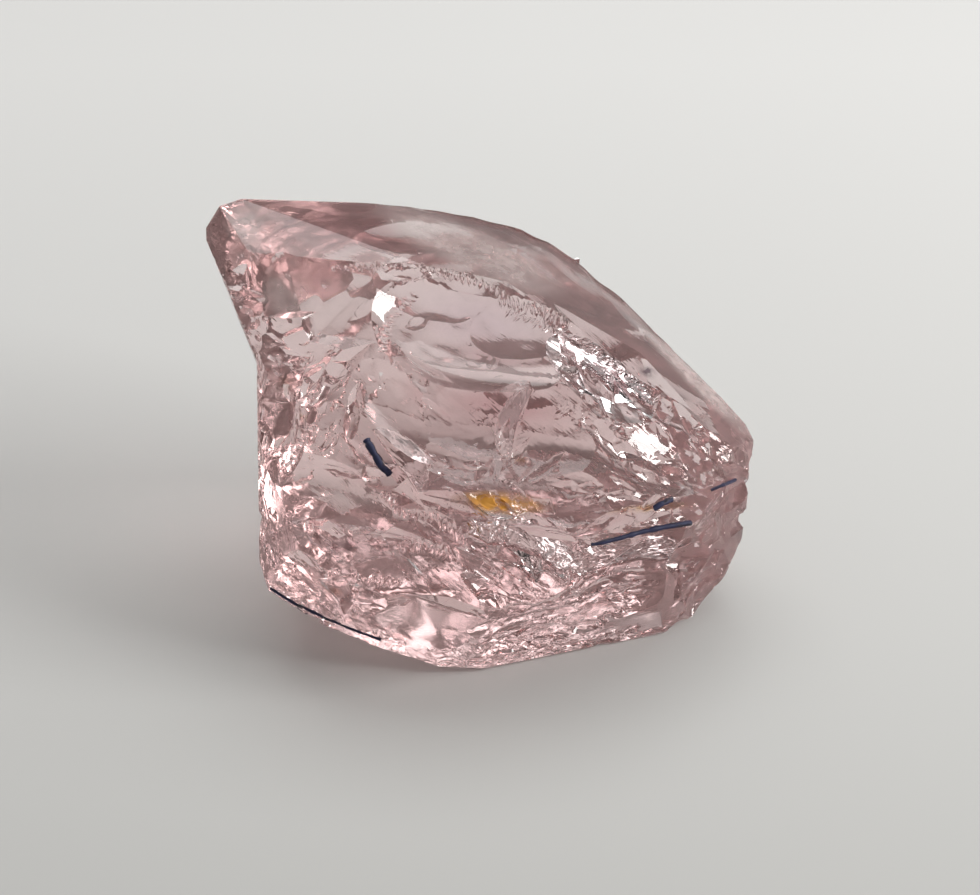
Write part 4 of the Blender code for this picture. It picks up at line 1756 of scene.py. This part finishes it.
@dataclass(frozen=True)
class Needles:
    """All the dark needles, as one piece swept along their courses by Geometry Nodes.

    Attributes:
        sides: how many sides a needle has.
        unevenness: how much its thickness changes along it.
    """

    sides: int = 7
    unevenness: float = 0.7

    def tree(self, material: bpy.types.Material) -> bpy.types.NodeTree:
        """Builds the tree that sweeps a rod along each course.

        Args:
            material: the needles' finish.

        Returns:
            The node tree, whose inputs are the courses, Sides and Unevenness.
        """
        tree = bpy.data.node_groups.new("needles", "GeometryNodeTree")
        face = tree.interface
        face.new_socket("Geometry", in_out="OUTPUT", socket_type="NodeSocketGeometry")
        face.new_socket("Courses", in_out="INPUT", socket_type="NodeSocketGeometry")
        face.new_socket("Sides", in_out="INPUT", socket_type="NodeSocketInt")
        face.new_socket("Unevenness", in_out="INPUT", socket_type="NodeSocketFloat")
        new, link = tree.nodes.new, tree.links.new
        given = new("NodeGroupInput")
        result = new("NodeGroupOutput")
        course = new("GeometryNodeMeshToCurve")
        link(given.outputs["Courses"], course.inputs[0])
        finer = new("GeometryNodeResampleCurve")
        finer.inputs["Count"].default_value = 40
        link(course.outputs[0], finer.inputs[0])
        thick = new("GeometryNodeInputNamedAttribute")
        thick.data_type = "FLOAT"
        thick.inputs["Name"].default_value = "thickness"
        grain = new("ShaderNodeTexNoise")
        grain.inputs["Scale"].default_value = 6.0
        swell = new("ShaderNodeMath")
        swell.operation = "MULTIPLY_ADD"
        link(grain.outputs[0], swell.inputs[0])
        link(given.outputs["Unevenness"], swell.inputs[1])
        swell.inputs[2].default_value = 0.2
        wide = new("ShaderNodeMath")
        wide.operation = "MULTIPLY"
        link(swell.outputs[0], wide.inputs[0])
        link(thick.outputs[0], wide.inputs[1])
        profile = new("GeometryNodeCurvePrimitiveCircle")
        link(given.outputs["Sides"], profile.inputs["Resolution"])
        profile.inputs["Radius"].default_value = 1.0
        rod = new("GeometryNodeCurveToMesh")
        link(finer.outputs[0], rod.inputs["Curve"])
        link(profile.outputs[0], rod.inputs["Profile Curve"])
        link(wide.outputs[0], rod.inputs["Scale"])
        rod.inputs["Fill Caps"].default_value = True
        real = new("GeometryNodeRealizeInstances")
        link(rod.outputs[0], real.inputs[0])
        dressed = new("GeometryNodeSetMaterial")
        dressed.inputs["Material"].default_value = material
        link(real.outputs[0], dressed.inputs[0])
        link(dressed.outputs[0], result.inputs[0])
        return tree

    def build(self, stone: bpy.types.Object) -> bpy.types.Object:
        """Lays the needles in the stone's surface.

        Args:
            stone: the finished stone, in metres.

        Returns:
            The needles as one piece, in metres.
        """
        surface = BVHTree.FromObject(stone, bpy.context.evaluated_depsgraph_get())
        towards = VIEW.direction(0.0, 0.0, 1.0)
        courses = bmesh.new()
        layer = courses.verts.layers.float.new("thickness")
        for needle in NEEDLES:
            previous = None
            for pixel in needle.pixels:
                start = VIEW.placed(*from_pixel(*pixel), 0.0) * MM + towards * 0.03
                point, _, _, _ = surface.ray_cast(start, -towards)
                if point is None:
                    continue
                corner = courses.verts.new(point / MM - towards * needle.thickness * 0.2)
                corner[layer] = needle.thickness
                if previous:
                    courses.edges.new((previous, corner))
                previous = corner
        carrier = object_from(courses, "needle_courses")
        modifier = carrier.modifiers.new("needles", "NODES")
        modifier.node_group = self.tree(DarkNeedle().material())
        named = {item.name: item.identifier for item in modifier.node_group.interface.items_tree if item.in_out == "INPUT"}
        modifier[named["Sides"]] = self.sides
        modifier[named["Unevenness"]] = self.unevenness
        needles = evaluated_copy(carrier, "dark_needles")
        shape = bmesh.new()
        shape.from_mesh(needles.data)
        bmesh.ops.remove_doubles(shape, verts=shape.verts, dist=0.0005)
        bmesh.ops.recalc_face_normals(shape, faces=shape.faces)
        shape.to_mesh(needles.data)
        shape.free()
        needles.data.transform(Matrix.Scale(MM, 4))
        needles.data.shade_smooth()
        return needles


@dataclass(frozen=True)
class Studio:
    """The table, the lights and the camera.

    Attributes:
        distance: how far the camera stands from the stone, in metres.
        table_size: the table's width, in metres.
        air_gap: the thin air under the stone, which keeps its underside bright, in metres.
        sensor: the camera's sensor width, in millimetres.
    """

    distance: float = 0.25
    table_size: float = 1.2
    air_gap: float = 0.00003
    sensor: float = 36.0

    def table(self) -> bpy.types.Object:
        """Builds the table top."""
        shape = bmesh.new()
        bmesh.ops.create_grid(shape, x_segments=8, y_segments=8, size=self.table_size / 2)
        bmesh.ops.translate(shape, vec=(0.0, 0.0, -self.air_gap), verts=shape.verts)
        table = object_from(shape, "table_top")
        table.data.materials.append(PaleTable().material())
        return table

    def camera(self) -> None:
        """Places the camera at the photograph's viewing angle."""
        data = bpy.data.cameras.new("photo_camera")
        camera = bpy.data.objects.new("photo_camera", data)
        bpy.context.scene.collection.objects.link(camera)
        middle = VIEW.placed(*from_pixel(PHOTO_WIDTH / 2, PHOTO_HEIGHT / 2), 0.0) * MM
        back = VIEW.direction(0.0, 0.0, 1.0)
        camera.location = middle + back * self.distance
        camera.rotation_euler = (-back).to_track_quat("-Z", "Y").to_euler()
        frame_width = PHOTO_WIDTH / PIXELS_PER_MM * MM
        data.sensor_width = self.sensor
        data.lens = self.sensor * self.distance / frame_width
        data.clip_start = 0.001
        bpy.context.scene.camera = camera

    def lamp(self, name: str, place: Point, size: tuple[float, float], power: float, colour: Point) -> None:
        """Adds a soft rectangular light that faces the stone.

        Args:
            name: its name.
            place: where it stands, in metres.
            size: its width and height, in metres.
            power: its power, in watts.
            colour: its colour.
        """
        data = bpy.data.lights.new(name, "AREA")
        data.shape = "RECTANGLE"
        data.size, data.size_y = size
        data.energy = power
        data.color = colour
        light = bpy.data.objects.new(name, data)
        bpy.context.scene.collection.objects.link(light)
        light.location = place
        target = Vector((0.0, 0.0, 0.004))
        light.rotation_euler = (target - light.location).to_track_quat("-Z", "Y").to_euler()

    def room(self) -> None:
        """Surrounds the stone with a pale room that darkens behind the camera."""
        world = bpy.data.worlds.new("room")
        bpy.context.scene.world = world
        world.use_nodes = True
        tree = world.node_tree
        background = tree.nodes["Background"]
        place = tree.nodes.new("ShaderNodeTexCoord")
        split = tree.nodes.new("ShaderNodeSeparateXYZ")
        tree.links.new(place.outputs["Generated"], split.inputs[0])
        ramp = tree.nodes.new("ShaderNodeMapRange")
        ramp.inputs["From Min"].default_value = -0.9
        ramp.inputs["From Max"].default_value = 0.5
        ramp.inputs["To Min"].default_value = 0.23
        ramp.inputs["To Max"].default_value = 0.39
        tree.links.new(split.outputs["Y"], ramp.inputs["Value"])
        tree.links.new(ramp.outputs[0], background.inputs["Strength"])
        background.inputs["Color"].default_value = (1.0, 0.99, 0.97, 1.0)

    def light(self) -> None:
        """Sets up the lights."""
        self.lamp("window", (0.14, -0.02, 0.075), (0.08, 0.05), 0.17, (1.0, 0.99, 0.975))
        self.lamp("back_sheet", (0.02, 0.12, 0.16), (0.25, 0.12), 0.185, (1.0, 0.995, 0.985))
        self.room()


def main() -> None:
    """Builds the stone, its needles and the studio in order."""
    logging.basicConfig(level=logging.INFO, format="%(message)s")
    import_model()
    stone = Stone(
        outline=OUTLINE_CORNERS,
        front=FRONT_CORNERS,
        back=BACK_CORNERS,
        notch=NOTCH_CORNERS,
        fractures=FRACTURES,
        chips=CHIPS,
        cracks=CRACKS,
    ).build()
    stone.data.materials.clear()
    stone.data.materials.append(ClearPink().material())
    needles = Needles().build(stone)
    for piece in (stone, needles):
        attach(piece, BODY)
        LOG.info("%s: %d faces", piece.name, len(piece.data.polygons))
    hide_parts(SOLID_NODE)
    studio = Studio()
    studio.table()
    studio.camera()
    studio.light()
    scene = bpy.context.scene
    scene.view_settings.view_transform = "Standard"
    scene.cycles.max_bounces = 8
    scene.cycles.transmission_bounces = 8
    scene.cycles.glossy_bounces = 5
    scene.cycles.diffuse_bounces = 3
    scene.cycles.use_light_tree = False


if __name__ == "__main__":
    main()
